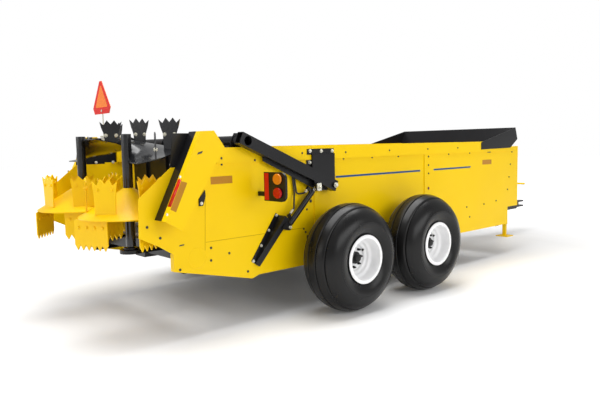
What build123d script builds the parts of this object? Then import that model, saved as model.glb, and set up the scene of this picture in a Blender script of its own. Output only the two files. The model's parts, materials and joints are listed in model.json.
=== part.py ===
from build123d import *
import math
import os

# Manure spreader on tandem wheels, standing on its tyres and its tongue jack.
# Millimetres. +X points forward to the hitch, +Y to the left, +Z up, and the ground is Z = 0.
# Every X below is counted from the middle of the tandem; the finished machine is then moved
# so that the origin lies on the ground under the middle of its overall length and width.
# Sub-parts of both sides are drawn for the right side (-Y) and mirrored.

# ---- wheels and tandem -------------------------------------------------------------------
TYRE_RADIUS = 501.5
TYRE_WIDTH = 444.0
TYRE_WALL = 28.0
BEAD_RADIUS = 205.0
RIM_FLANGE_RADIUS = 223.5
RIM_HALF_WIDTH = 200.0
RIM_BARREL_RADIUS = 190.0
RIM_DISC_OFFSET = 32.0
WHEEL_SPACING = 1118.0
SPINDLE_RADIUS = 30.0
HUB_RADIUS = 58.0
HUB_HALF_LENGTH = 78.0
AXLE_HEIGHT = 440.0
AXLE_RADIUS = 45.0
BEAM_THICKNESS = 60.0

# ---- box --------------------------------------------------------------------------------
WALL_Y = 920.0
WHEEL_STANDOFF = 330.0
WHEEL_TRACK_HALF = WALL_Y + WHEEL_STANDOFF
BEAM_INSET = 15.0
BEAM_CENTRE_Y = WALL_Y - BEAM_INSET
SHEET = 5.0
SKIRT_BOTTOM = 420.0
RAIL_BOTTOM = 1404.0
RAIL_TOP = 1535.0
RAIL_DEPTH = 40.0
RAIL_PROUD = 12.0
RAIL_REAR_X = -1790.0
SEAM_X = -1913.0
SKIRT_FRONT_X = 2909.0
CORNER_FRONT_X = 3175.0
CORNER_BOTTOM = 650.0
CORNER_TOP = 1464.0
FRONT_WALL_FOOT_X = 2650.0
FRONT_WALL_FOOT_Z = 668.0
FRONT_WALL_LEAN = 0.398
FRONT_SHEET_FOOT = 800.0
EXTENSION_TOP = 1716.0
WHEEL_CUT_HALF = 800.0
WHEEL_CUT_TOP = 700.0
POST_PROUD = 8.0
REAR_PLATE_X = -2500.0
REAR_EXTENSION_TOP = 1653.0
LIGHT_PANEL_STANDOFF = 165.0
LIGHT_PANEL_Y = WALL_Y + LIGHT_PANEL_STANDOFF
LIGHT_FLANGE = 60.0

# ---- chassis, floor and apron -----------------------------------------------------------
CHASSIS_RAIL_INSET = 135.0
CHASSIS_RAIL_Y = WALL_Y - CHASSIS_RAIL_INSET
CHASSIS_RAIL_WIDTH = 80.0
CHASSIS_RAIL_BOTTOM = 533.0
CHASSIS_RAIL_TOP = 683.0
CHASSIS_STEEL = 8.0
CHASSIS_REAR_X = -2100.0
BOLSTER_X = 2700.0
BOLSTER_LENGTH = 80.0
CROSS_MEMBER_WIDTH = 60.0
FLOOR_THICKNESS = 12.0
FLOOR_TOP = 745.0
APRON_REAR_X = -1740.0
APRON_FRONT_X = 2480.0
APRON_SHAFT_Z = 650.0
APRON_SHAFT_RADIUS = 25.0
CHAIN_THICKNESS = 30.0
CHAIN_WIDTH = 40.0
CHAIN_INSET = 65.0
CHAIN_Y = CHASSIS_RAIL_Y - CHAIN_INSET
SLAT_PAST_CHAIN = 50.0
SLAT_HALF_LENGTH = CHAIN_Y + SLAT_PAST_CHAIN
SLAT_PITCH = 470.0

# ---- tongue -----------------------------------------------------------------------------
TONGUE_WIDTH = 120.0
TONGUE_HEIGHT = 140.0
TONGUE_MIDDLE_Z = 475.0
TONGUE_FRONT_X = 4800.0
HITCH_PIN_X = 5022.0
HITCH_PIN_HOLE_RADIUS = 16.7
HITCH_GAP = 60.0
HITCH_PLATE = 20.0
HITCH_EAR_RADIUS = 53.0
JACK_X = 4330.0
JACK_Y = -100.0
JACK_TUBE = 64.0
SHAFT_Z = 595.0
SHAFT_RADIUS = 20.0
SPLINE_RADIUS = 17.46
SPLINE_LENGTH = 80.0
SPLINE_END_X = 3350.0

# ---- endgate and its cylinders ----------------------------------------------------------
ARM_PIVOT = (-530.0, 1159.0)
ARM_ANGLE = 22.9
ARM_HEIGHT = 102.0
ARM_WIDTH = 76.0
ARM_STANDOFF = 36.0
ARM_INNER_Y = WALL_Y + ARM_STANDOFF
ARM_REAR_REACH = 1170.0
ARM_FRONT_REACH = 33.0
GATE_TUBE_REACH = 1098.0
GATE_TUBE_RADIUS = 45.0
GATE_SIDE_GAP = 38.0
GATE_HALF_WIDTH = WALL_Y - GATE_SIDE_GAP
GATE_PANEL_X = -1606.0
GATE_PANEL_BOTTOM = 800.0
GATE_PANEL_TOP = 1552.0
PIVOT_PIN_RADIUS = 16.0
CYLINDER_FOOT = (-1098.0, 815.0)
CYLINDER_HEAD = (-745.0, 1153.0)
BARREL_RADIUS = 26.0
PORT_SIZE = 24.0
PORT_HEIGHT = 74.0
PORT_LOW = 70.0
PORT_HIGH_BACK = 86.0
HOSE_LIFT = 62.0
HOSE_RADIUS = 8.0
ROD_RADIUS = 15.0
CYLINDER_PIN_RADIUS = 12.0
EYE_RADIUS = 24.0
EYE_HALF_WIDTH = 14.0
LUG_THICKNESS = 8.0
LUG_GAP = 4.0

# ---- beaters ----------------------------------------------------------------------------
BEATER_X = -2340.0
BEATER_Y = WALL_Y / 2
BEATER_BOTTOM = 745.0
BEATER_TOP = 1660.0
CORE_RADIUS = 40.0
CORE_WALL = 6.0
BEATER_SHAFT_RADIUS = 25.0
GEARBOX_TOP = 735.0
GEARBOX_FOOT = 560.0
FLIGHT_RADIUS = 395.0
FLIGHT_THICKNESS = 8.0
FLIGHT_PITCH = 400.0
FLIGHT_TOP_ANGLE = 75.0
FLIGHT_TOP_Z = 1630.0
FLIGHT_TURN = 180.0
CONE_RADIUS = 400.0
CONE_TOP = 1225.0
CONE_EDGE_Z = 1005.0
PADDLE_BOTTOM = 755.0
PADDLE_RADIUS = 340.0
PADDLE_WIDTH = 330.0
LEFT_BEATER_LAG = -20.0
BLADE_THICKNESS = 10.0

# Running gaps: one for a shaft in its bearing, one for plates that stand side by side.
BEARING_GAP = 0.5
SEAT_GAP = 0.5
FIT_GAP = 0.3


# ---- shape helpers ----------------------------------------------------------------------
def block(x0, x1, y0, y1, z0, z1):
    """A box given by its limits."""
    size = (x1 - x0, y1 - y0, z1 - z0)
    return Pos((x0 + x1) / 2, (y0 + y1) / 2, (z0 + z1) / 2) * Box(*size)


def prism_y(points, y0, y1):
    """An (x, z) outline, drawn out from y0 to y1."""
    face = Face(Wire.make_polygon([(x, y0, z) for x, z in points], close=True))
    return extrude(face, amount=y1 - y0, dir=(0, 1, 0))


def prism_z(points, z0, z1):
    """An (x, y) outline, drawn out from z0 to z1."""
    face = Face(Wire.make_polygon([(x, y, z0) for x, y in points], close=True))
    return extrude(face, amount=z1 - z0, dir=(0, 0, 1))


def prism_x(points, x0, x1):
    """A (y, z) outline, drawn out from x0 to x1."""
    face = Face(Wire.make_polygon([(x0, y, z) for y, z in points], close=True))
    return extrude(face, amount=x1 - x0, dir=(1, 0, 0))


def rod_x(radius, x0, x1, y, z):
    return Pos((x0 + x1) / 2, y, z) * Rot(0, 90, 0) * Cylinder(radius, x1 - x0)


def rod_y(radius, y0, y1, x, z):
    return Pos(x, (y0 + y1) / 2, z) * Rot(90, 0, 0) * Cylinder(radius, y1 - y0)


def rod_z(radius, z0, z1, x, y):
    return Pos(x, y, (z0 + z1) / 2) * Cylinder(radius, z1 - z0)


def turned(points, axis):
    """A solid of revolution from straight runs, about the given axis."""
    return revolve(Face(Wire.make_polygon(points, close=True)), axis, 360)


def mirrored(shape):
    return mirror(shape, about=Plane.XZ)


def front_wall_x(z):
    """Where the slanted front wall stands at a height."""
    return FRONT_WALL_FOOT_X + FRONT_WALL_LEAN * (z - FRONT_WALL_FOOT_Z)


# ---- wheels -----------------------------------------------------------------------------
def tyre(x, side):
    """A wide implement tyre, hollow inside, open at its beads."""
    half = TYRE_WIDTH / 2
    inner = half - TYRE_WALL
    crown = TYRE_RADIUS
    bead = RIM_HALF_WIDTH - 16 - 3
    outline = [
        Line((bead, BEAD_RADIUS), (bead, 228)),
        ThreePointArc((bead, 228), (half - 10, 280), (half, 340)),
        ThreePointArc((half, 340), (half - 24, 400), (150, crown - 50)),
        ThreePointArc((150, crown - 50), (0, crown), (-150, crown - 50)),
        ThreePointArc((-150, crown - 50), (24 - half, 400), (-half, 340)),
        ThreePointArc((-half, 340), (10 - half, 280), (-bead, 228)),
        Line((-bead, 228), (-bead, BEAD_RADIUS)),
        Line((-bead, BEAD_RADIUS), (TYRE_WALL - bead, BEAD_RADIUS)),
        ThreePointArc((TYRE_WALL - bead, BEAD_RADIUS), (-inner, 320), (-165, 392)),
        ThreePointArc((-165, 392), (0, crown - TYRE_WALL), (165, 392)),
        ThreePointArc((165, 392), (inner, 320), (bead - TYRE_WALL, BEAD_RADIUS)),
        Line((bead - TYRE_WALL, BEAD_RADIUS), (bead, BEAD_RADIUS)),
    ]
    ring = revolve(make_face(outline), Axis.X, 360)
    return Pos(x, side * WHEEL_TRACK_HALF, TYRE_RADIUS) * Rot(0, 0, side * 90) * ring


def rim(x, side):
    """A deep-dished steel wheel with its hub. The dish opens outwards."""
    flange = 16.0
    seat = BEAD_RADIUS - FIT_GAP
    bore = SPINDLE_RADIUS + BEARING_GAP
    disc = RIM_DISC_OFFSET
    section = [
        (RIM_HALF_WIDTH, RIM_BARREL_RADIUS), (RIM_HALF_WIDTH, RIM_FLANGE_RADIUS),
        (RIM_HALF_WIDTH - flange, RIM_FLANGE_RADIUS), (RIM_HALF_WIDTH - flange, seat),
        (flange - RIM_HALF_WIDTH, seat), (flange - RIM_HALF_WIDTH, RIM_FLANGE_RADIUS),
        (-RIM_HALF_WIDTH, RIM_FLANGE_RADIUS), (-RIM_HALF_WIDTH, RIM_BARREL_RADIUS),
        (disc + 60, RIM_BARREL_RADIUS), (disc, 125), (disc, 82), (disc - 10, 82),
        (disc - 10, HUB_RADIUS), (-HUB_HALF_LENGTH, HUB_RADIUS), (-HUB_HALF_LENGTH, bore),
        (HUB_HALF_LENGTH - 5, bore), (HUB_HALF_LENGTH - 5, 0), (HUB_HALF_LENGTH + 28, 0),
        (HUB_HALF_LENGTH + 28, 30), (HUB_HALF_LENGTH + 20, 38), (HUB_HALF_LENGTH, 38),
        (HUB_HALF_LENGTH, HUB_RADIUS), (disc + 12, HUB_RADIUS), (disc + 12, 125),
        (disc + 78, RIM_BARREL_RADIUS),
    ]
    wheel = turned(section, Axis.X)
    return Pos(x, side * WHEEL_TRACK_HALF, TYRE_RADIUS) * Rot(0, 0, side * 90) * wheel


def walking_beam():
    """One right-hand beam of the tandem, with its pivot boss and two spindles."""
    y0 = -BEAM_CENTRE_Y - BEAM_THICKNESS / 2
    y1 = y0 + BEAM_THICKNESS
    reach = WHEEL_SPACING / 2
    boss = 78.0
    end = 55.0
    spindle_end = WHEEL_TRACK_HALF + HUB_HALF_LENGTH - 10
    shoulder_end = WHEEL_TRACK_HALF - HUB_HALF_LENGTH - 5
    outline = [
        (-reach, TYRE_RADIUS + end), (0, AXLE_HEIGHT + boss), (reach, TYRE_RADIUS + end),
        (reach, TYRE_RADIUS - end), (0, AXLE_HEIGHT - boss), (-reach, TYRE_RADIUS - end),
    ]
    beam = prism_y(outline, y0, y1) + rod_y(boss, y0, y1, 0, AXLE_HEIGHT)
    for x in (-reach, reach):
        beam += rod_y(end, y0, y1, x, TYRE_RADIUS)
        beam += rod_y(SPINDLE_RADIUS + 15, -shoulder_end, y0, x, TYRE_RADIUS)
        beam += rod_y(SPINDLE_RADIUS, -spindle_end, y0, x, TYRE_RADIUS)
    return beam - rod_y(AXLE_RADIUS + FIT_GAP, y0 - 1, y1 + 1, 0, AXLE_HEIGHT)


def tandem_axle():
    """The cross tube that both walking beams rock on, and its hangers under the rails."""
    end = BEAM_CENTRE_Y + BEAM_THICKNESS / 2 + 6
    axle = rod_y(AXLE_RADIUS, -end, end, 0, AXLE_HEIGHT)
    plate = [
        (-170, CHASSIS_RAIL_BOTTOM), (170, CHASSIS_RAIL_BOTTOM), (75, AXLE_HEIGHT - 60),
        (-75, AXLE_HEIGHT - 60),
    ]
    for y in (CHASSIS_RAIL_Y + 6, CHASSIS_RAIL_Y + CHASSIS_RAIL_WIDTH - 18):
        axle += prism_y(plate, y, y + 12) + prism_y(plate, -y - 12, -y)
    return axle


# ---- chassis and floor ------------------------------------------------------------------
def chassis_rail():
    """Right-hand main rail: a channel that opens inwards."""
    y_web = -CHASSIS_RAIL_Y - CHASSIS_RAIL_WIDTH
    y_open = -CHASSIS_RAIL_Y
    rail = block(CHASSIS_REAR_X, BOLSTER_X, y_web, y_open, CHASSIS_RAIL_BOTTOM, CHASSIS_RAIL_TOP)
    steel = CHASSIS_STEEL
    hollow = block(CHASSIS_REAR_X - 1, BOLSTER_X + 1, y_web + steel, y_open + 1,
                   CHASSIS_RAIL_BOTTOM + steel, CHASSIS_RAIL_TOP - steel)
    return rail - hollow


def cross_members():
    """Channels across the rails that carry the floor and hold the side sheets."""
    top = FLOOR_TOP - FLOOR_THICKNESS
    half = WALL_Y - SHEET - SEAT_GAP
    reach = CROSS_MEMBER_WIDTH / 2
    steel = 6.0
    members = []
    for x in (-1600, -1000, -400, 200, 800, 1400, 2000, 2330, 2740):
        bar = block(x - reach, x + reach, -half, half, CHASSIS_RAIL_TOP, top)
        bar -= block(x - reach + steel, x + reach - steel, -half - 1, half + 1,
                     CHASSIS_RAIL_TOP - 1, top - steel)
        members.append(bar)
    return members


def floor():
    """Smooth floor panel, and the sloping strips that cover the slat ends at both walls."""
    top = FLOOR_TOP
    half = WALL_Y - SHEET - SEAT_GAP
    margin = 65.0
    rear = APRON_REAR_X + margin
    front = APRON_FRONT_X - margin
    panel = block(rear, front, -half, half, top - FLOOR_THICKNESS, top)
    shield_section = [
        (-half, top + 115), (-half, top + 122), (-SLAT_HALF_LENGTH - 5, top + 57),
        (-SLAT_HALF_LENGTH - 5, top + 50),
    ]
    shield = prism_x(shield_section, GATE_PANEL_X + 70, front)
    return [panel, shield, mirrored(shield)]


def apron_loop(radius, y):
    """A closed belt round both apron shafts."""
    y0, y1 = y - CHAIN_WIDTH / 2, y + CHAIN_WIDTH / 2
    loop = block(APRON_REAR_X, APRON_FRONT_X, y0, y1, APRON_SHAFT_Z - radius, APRON_SHAFT_Z + radius)
    loop += rod_y(radius, y0, y1, APRON_REAR_X, APRON_SHAFT_Z)
    return loop + rod_y(radius, y0, y1, APRON_FRONT_X, APRON_SHAFT_Z)


def apron_chains():
    """Two endless chains, lying on the floor above and returning under it."""
    inner = FLOOR_TOP - APRON_SHAFT_Z
    return [apron_loop(inner + CHAIN_THICKNESS, y) - apron_loop(inner, y) for y in (-CHAIN_Y, CHAIN_Y)]


def apron_slats():
    """T-shaped cross slats, bolted on the chains' outer side."""
    reach = 25.0
    foot = 12.0
    rib_half = CHAIN_Y - CHAIN_WIDTH / 2 - 5
    outer = FLOOR_TOP - APRON_SHAFT_Z + CHAIN_THICKNESS
    slats = []
    count = int((APRON_FRONT_X - APRON_REAR_X) / SLAT_PITCH)
    for run in (1, -1):
        for i in range(count):
            x = APRON_REAR_X + SLAT_PITCH * (i + 0.5)
            near = APRON_SHAFT_Z + run * (outer - CHAIN_THICKNESS + 2)
            far = APRON_SHAFT_Z + run * outer
            tip = APRON_SHAFT_Z + run * (outer + foot)
            bar = block(x - reach, x + reach, -SLAT_HALF_LENGTH, SLAT_HALF_LENGTH,
                        min(far, tip), max(far, tip))
            rib = block(x - 5, x + 5, -rib_half, rib_half, min(near, far), max(near, far))
            slats.append(bar + rib)
    return slats


def apron_shafts():
    """Front and rear apron shafts with the sprockets that drive the chains."""
    half = CHASSIS_RAIL_Y + CHASSIS_RAIL_WIDTH - CHASSIS_STEEL - SEAT_GAP
    sprocket = FLOOR_TOP - APRON_SHAFT_Z - FIT_GAP
    shafts = []
    for x in (APRON_REAR_X, APRON_FRONT_X):
        shaft = rod_y(APRON_SHAFT_RADIUS, -half, half, x, APRON_SHAFT_Z)
        for y in (-CHAIN_Y, CHAIN_Y):
            shaft += rod_y(sprocket, y - 12, y + 12, x, APRON_SHAFT_Z)
        shafts.append(shaft)
    return shafts


# ---- box --------------------------------------------------------------------------------
def side_wall():
    """Right-hand side sheet with its two posts. The tandem has a cut-out in its lower edge."""
    outline = [
        (SEAM_X, 504), (-1452, 396), (-1374, SKIRT_BOTTOM), (-WHEEL_CUT_HALF, SKIRT_BOTTOM),
        (-WHEEL_CUT_HALF, WHEEL_CUT_TOP), (WHEEL_CUT_HALF, WHEEL_CUT_TOP),
        (WHEEL_CUT_HALF, SKIRT_BOTTOM), (SKIRT_FRONT_X, SKIRT_BOTTOM),
        (SKIRT_FRONT_X, CORNER_BOTTOM), (front_wall_x(CORNER_BOTTOM), CORNER_BOTTOM),
        (front_wall_x(RAIL_BOTTOM), RAIL_BOTTOM), (SEAM_X, RAIL_BOTTOM),
    ]
    wall = prism_y(outline, -WALL_Y, -WALL_Y + SHEET)
    # Columns: rear edge, front edge, foot.
    posts = [(-700, -632, WHEEL_CUT_TOP + 5), (1030, 1205, SKIRT_BOTTOM + 10)]
    for rear, front, foot in posts:
        wall += block(rear, front, -WALL_Y - POST_PROUD, -WALL_Y, foot, RAIL_BOTTOM)
    return wall


def top_rail():
    """Square-cornered tube along the top of the right-hand side sheet, open at its ends."""
    outer = -WALL_Y - RAIL_PROUD
    inner = outer + RAIL_DEPTH
    front = front_wall_x(RAIL_BOTTOM) - 3
    tube = block(RAIL_REAR_X, front, outer, inner, RAIL_BOTTOM, RAIL_TOP)
    return tube - block(RAIL_REAR_X - 1, front + 1, outer + SHEET, inner - SHEET,
                        RAIL_BOTTOM + SHEET, RAIL_TOP - SHEET)


def rear_side():
    """Right-hand side sheet of the beater bay, with a folded edge behind the floor."""
    rear_fold_x = -2215.0
    outline = [
        (SEAM_X, 504), (SEAM_X, 1390), (-2210, 1390), (-2490, 1168), (REAR_PLATE_X, 872),
        (-2345, 795), (rear_fold_x, 712), (rear_fold_x, 574),
    ]
    sheet = prism_y(outline, -WALL_Y, -WALL_Y + SHEET)
    fold_y = -CHASSIS_RAIL_Y - CHASSIS_RAIL_WIDTH - 5
    return sheet + block(rear_fold_x, rear_fold_x + SHEET, -WALL_Y + SHEET, fold_y, 574, 712)


def slanted_strip(y0, y1):
    """A plate that faces the rear and leans forward at its top, along the light panel's edge."""
    top, bottom = (-2035, 1665), (-2366, 999)
    outline = [top, bottom, (bottom[0] + SHEET + 1, bottom[1]), (top[0] + SHEET + 1, top[1])]
    return prism_y(outline, y0, y1)


def rear_bracket():
    """Black upper plate of the beater bay, and the arm that carries the light panel."""
    outline = [
        (RAIL_REAR_X, 1390), (RAIL_REAR_X, REAR_EXTENSION_TOP), (-2182, REAR_EXTENSION_TOP),
        (-2212, 1400), (-2210, 1390),
    ]
    plate = prism_y(outline, -WALL_Y, -WALL_Y + SHEET)
    plate -= block(SEAM_X, RAIL_REAR_X + 1, -WALL_Y - 1, -WALL_Y + SHEET + 1, 1380, RAIL_BOTTOM)
    return plate + slanted_strip(-LIGHT_PANEL_Y + LIGHT_FLANGE, -WALL_Y)


def light_panel():
    """Slanted panel that stands off the side and carries the reflectors."""
    outline = [(-2035, 1665), (-1911, 1669), (-1817, 1540), (-2226, 916), (-2366, 999)]
    face = prism_y(outline, -LIGHT_PANEL_Y, -LIGHT_PANEL_Y + SHEET)
    return face + slanted_strip(-LIGHT_PANEL_Y, -LIGHT_PANEL_Y + LIGHT_FLANGE)


def front_wall():
    """Slanted front sheet with stiffeners, its shelf over the apron, and both corner sheets."""
    half = WALL_Y - SHEET
    foot_z, top = FRONT_SHEET_FOOT, CORNER_TOP
    foot_x = front_wall_x(foot_z)
    sheet = [(foot_x, foot_z), (front_wall_x(top), top), (front_wall_x(top) + SHEET, top),
             (foot_x + SHEET, foot_z)]
    rib = [(foot_x + SHEET, foot_z), (front_wall_x(top) + SHEET, top),
           (front_wall_x(top) + 45, top), (foot_x + 45, foot_z)]
    wall = prism_y(sheet, -half, half)
    wall += block(foot_x - 25, foot_x + SHEET, -half, half, foot_z - SHEET, foot_z)
    for y in (-460, 0, 460):
        wall += prism_y(rib, y - 25, y + 25)
    corner = [
        (front_wall_x(CORNER_BOTTOM), CORNER_BOTTOM), (CORNER_FRONT_X, CORNER_BOTTOM),
        (CORNER_FRONT_X, CORNER_TOP), (front_wall_x(CORNER_TOP), CORNER_TOP),
    ]
    fold = block(CORNER_FRONT_X - SHEET, CORNER_FRONT_X, -half, -half + 55, CORNER_BOTTOM, CORNER_TOP)
    side = prism_y(corner, -WALL_Y, -half) + fold
    return wall + side + mirrored(side)


def front_extension():
    """Black board above the front wall, with a wing along each top rail."""
    rail_face = WALL_Y + RAIL_PROUD
    foot = CORNER_TOP
    board = [
        (front_wall_x(foot), foot), (front_wall_x(EXTENSION_TOP), EXTENSION_TOP),
        (front_wall_x(EXTENSION_TOP) + SHEET, EXTENSION_TOP), (front_wall_x(foot) + SHEET, foot),
    ]
    wing = [
        (2214, 1436), (2214, 1525), (front_wall_x(EXTENSION_TOP) + SHEET, EXTENSION_TOP),
        (3128, 1560), (2941, 1446),
    ]
    right = prism_y(wing, -rail_face - SHEET, -rail_face)
    return prism_y(board, -rail_face, rail_face) + right + mirrored(right)


# ---- beater bay -------------------------------------------------------------------------
def beater_beam():
    """Rear cross beam with the centre gearbox, and an arm back to each beater's bearing."""
    half = CHASSIS_RAIL_Y - SEAT_GAP
    front = APRON_REAR_X - 160
    beam = block(front - 110, front, -half, half, 600, 700)
    beam += block(front - 130, front + 10, -90, 90, GEARBOX_FOOT, 720)
    for side in (-1, 1):
        y = side * BEATER_Y
        beam += block(BEATER_X, front - 60, y - 80, y + 80, 690, GEARBOX_TOP - 18)
        beam += rod_z(92, 690, GEARBOX_TOP - 15, BEATER_X, y)
        beam += rod_z(60, GEARBOX_TOP - 15, GEARBOX_TOP, BEATER_X, y)
        beam += rod_z(BEATER_SHAFT_RADIUS, GEARBOX_TOP, BEATER_BOTTOM + 120, BEATER_X, y)
    return beam


def claw(angle, height, stem):
    """An upright plate with four cutting teeth on the flight, swept back from the radius."""
    outline = [
        (-56, -stem), (56, -stem), (60, -30), (82, 30), (96, 88), (62, 58), (32, 100), (0, 64),
        (-32, 100), (-62, 58), (-96, 88), (-82, 30), (-60, -30),
    ]
    plate = prism_y(outline, -BLADE_THICKNESS / 2, BLADE_THICKNESS / 2)
    return Rot(0, 0, angle) * Pos(356, 0, height) * Rot(0, 0, -38) * plate


def cone_claw(angle):
    """A broad upright plate with four teeth on the cone, set square to the radius."""
    outline = [
        (-85, -176), (85, -176), (94, 0), (106, 80), (68, 48), (36, 98), (0, 60),
        (-36, 98), (-68, 48), (-106, 80), (-94, 0),
    ]
    plate = prism_y(outline, -BLADE_THICKNESS / 2, BLADE_THICKNESS / 2)
    return Rot(0, 0, angle) * Pos(330, 0, 1217) * Rot(0, 0, 94) * plate


def flight_height(angle):
    """Height of the auger flight at an angle, counted down from its upper end."""
    return FLIGHT_TOP_Z + FLIGHT_PITCH * (angle - FLIGHT_TOP_ANGLE) / 360


def auger_flight():
    """A helical flight made of flat-edged sectors, half a turn long."""
    step = 30.0
    inner = CORE_RADIUS - 3
    half = FLIGHT_THICKNESS / 2
    sections = []
    for i in range(int(FLIGHT_TURN / step) + 1):
        angle = FLIGHT_TOP_ANGLE - FLIGHT_TURN + step * i
        z = flight_height(angle)
        c, s = math.cos(math.radians(angle)), math.sin(math.radians(angle))
        corners = [(inner, z - half), (FLIGHT_RADIUS, z - half), (FLIGHT_RADIUS, z + half),
                   (inner, z + half)]
        sections.append(Face(Wire.make_polygon([(r * c, r * s, h) for r, h in corners], close=True)))
    return loft(sections, ruled=True)


def beater_auger():
    """Upper part of a beater: the core tube, its flight and the cutting claws on the flight."""
    auger = rod_z(CORE_RADIUS, BEATER_BOTTOM, BEATER_TOP, 0, 0)
    auger -= rod_z(CORE_RADIUS - CORE_WALL, BEATER_BOTTOM + 130, BEATER_TOP + 1, 0, 0)
    auger -= rod_z(BEATER_SHAFT_RADIUS + BEARING_GAP, BEATER_BOTTOM - 1, BEATER_BOTTOM + 125, 0, 0)
    auger += auger_flight()
    # Columns: angle round the beater, height of the plate's middle.
    claws = [(45, 1698), (-17, 1690), (-79, 1566)]
    for angle, height in claws:
        stem = height - flight_height(angle)
        auger += claw(angle, height, stem)
    return auger


def beater_thrower():
    """Lower part of a beater: a cone with claws on it and toothed paddles under its edge."""
    hub = CORE_RADIUS + FIT_GAP
    thick = 9.0
    cone = turned([(hub, 0, CONE_TOP), (hub, 0, CONE_TOP - thick), (CONE_RADIUS, 0, CONE_EDGE_Z - thick),
                   (CONE_RADIUS, 0, CONE_EDGE_Z)], Axis.Z)
    under_cone = turned([(0, 0, CONE_TOP - thick / 2), (hub, 0, CONE_TOP - thick / 2),
                         (CONE_RADIUS - 4, 0, CONE_EDGE_Z - thick / 2), (450, 0, CONE_EDGE_Z - 20),
                         (450, 0, PADDLE_BOTTOM - 1), (0, 0, PADDLE_BOTTOM - 1)], Axis.Z)
    half, teeth = PADDLE_WIDTH / 2, 6
    tooth = PADDLE_WIDTH / teeth
    outline = [(-half, CONE_TOP)]
    for i in range(teeth):
        outline.append((tooth * i - half, PADDLE_BOTTOM + 45))
        outline.append((tooth * (i + 0.5) - half, PADDLE_BOTTOM))
    outline.append((half, PADDLE_BOTTOM + 45))
    outline.append((half, CONE_TOP))
    paddle = prism_y(outline, -BLADE_THICKNESS / 2, BLADE_THICKNESS / 2)
    thrower = cone
    for i in range(4):
        blade = Rot(0, 0, 4 + 90 * i) * Pos(PADDLE_RADIUS, 0, 0) * Rot(0, 0, 110) * paddle
        thrower += blade & under_cone
    for i in range(6):
        thrower += cone_claw(32 + 60 * i)
    return thrower


def placed_beater(shape, side):
    """The right-hand beater is drawn at the origin; the left-hand one is its mirror image,
    a little behind in its turn."""
    handed = shape if side < 0 else Rot(0, 0, LEFT_BEATER_LAG) * mirrored(shape)
    return Pos(BEATER_X, side * BEATER_Y, 0) * handed


# ---- tongue, hitch and drive ------------------------------------------------------------
def front_bolster():
    """Deep box section across the front of the rails, which carries the tongue."""
    half = CHASSIS_RAIL_Y + CHASSIS_RAIL_WIDTH
    x1 = BOLSTER_X + BOLSTER_LENGTH
    steel = CHASSIS_STEEL
    bolster = block(BOLSTER_X, x1, -half, half, TONGUE_MIDDLE_Z - 75, CHASSIS_RAIL_TOP)
    bolster -= block(BOLSTER_X + steel, x1 - steel, -half - 1, half + 1,
                     TONGUE_MIDDLE_Z - 75 + steel, CHASSIS_RAIL_TOP - steel)
    return bolster - rod_x(SHAFT_RADIUS + FIT_GAP, BOLSTER_X - 1, x1 + 1, 0, SHAFT_Z)


def tongue_beam():
    """Central drawbar tube, closed at its front by the hitch."""
    x0 = BOLSTER_X + BOLSTER_LENGTH
    half, low = TONGUE_WIDTH / 2, TONGUE_MIDDLE_Z - TONGUE_HEIGHT / 2
    high = TONGUE_MIDDLE_Z + TONGUE_HEIGHT / 2
    steel = CHASSIS_STEEL
    beam = block(x0, TONGUE_FRONT_X, -half, half, low, high)
    return beam - block(x0 - 1, TONGUE_FRONT_X + 1, -half + steel, half - steel, low + steel, high - steel)


def tongue_brace():
    """Right-hand diagonal from the bolster's end to the drawbar."""
    x0 = BOLSTER_X + BOLSTER_LENGTH
    tip = 4080.0
    outline = [(x0, -700), (x0, -600), (tip - 120, -TONGUE_WIDTH / 2), (tip, -TONGUE_WIDTH / 2)]
    return prism_z(outline, TONGUE_MIDDLE_Z - 50, TONGUE_MIDDLE_Z + 50)


def hitch_clevis():
    """Two ears with one vertical pin hole, on a block that closes the drawbar."""
    half = TONGUE_WIDTH / 2
    inner, outer = HITCH_GAP / 2, HITCH_GAP / 2 + HITCH_PLATE
    hitch = block(TONGUE_FRONT_X, TONGUE_FRONT_X + 60, -half, half, TONGUE_MIDDLE_Z - outer,
                  TONGUE_MIDDLE_Z + outer)
    for low in (TONGUE_MIDDLE_Z - outer, TONGUE_MIDDLE_Z + inner):
        ear = block(TONGUE_FRONT_X + 60, HITCH_PIN_X, -HITCH_EAR_RADIUS, HITCH_EAR_RADIUS, low,
                    low + HITCH_PLATE)
        hitch += ear + rod_z(HITCH_EAR_RADIUS, low, low + HITCH_PLATE, HITCH_PIN_X, 0)
    return hitch - rod_z(HITCH_PIN_HOLE_RADIUS, TONGUE_MIDDLE_Z - outer - 1, TONGUE_MIDDLE_Z + outer + 1,
                         HITCH_PIN_X, 0)


def jack():
    """Screw jack on the drawbar's right side, standing on its foot plate."""
    half = JACK_TUBE / 2
    foot = 100.0
    post = block(JACK_X - half, JACK_X + half, JACK_Y - half, JACK_Y + half, 190, 880)
    leg = block(JACK_X - 25, JACK_X + 25, JACK_Y - 25, JACK_Y + 25, 12, 190)
    plate = block(JACK_X - foot, JACK_X + foot, JACK_Y - foot, JACK_Y + foot, 0, 12)
    mount = block(JACK_X - 60, JACK_X + 60, JACK_Y + half, -TONGUE_WIDTH / 2, TONGUE_MIDDLE_Z - 65,
                  TONGUE_MIDDLE_Z + 65)
    cap = block(JACK_X - 38, JACK_X + 38, JACK_Y - 38, JACK_Y + 38, 880, 895)
    crank = rod_y(9, JACK_Y - 130, JACK_Y - half, JACK_X, 850)
    crank += block(JACK_X - 9, JACK_X + 150, JACK_Y - 142, JACK_Y - 130, 841, 859)
    grip = rod_y(14, JACK_Y - 260, JACK_Y - 142, JACK_X + 136, 850)
    return post + leg + plate + mount + cap + crank + grip


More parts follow.
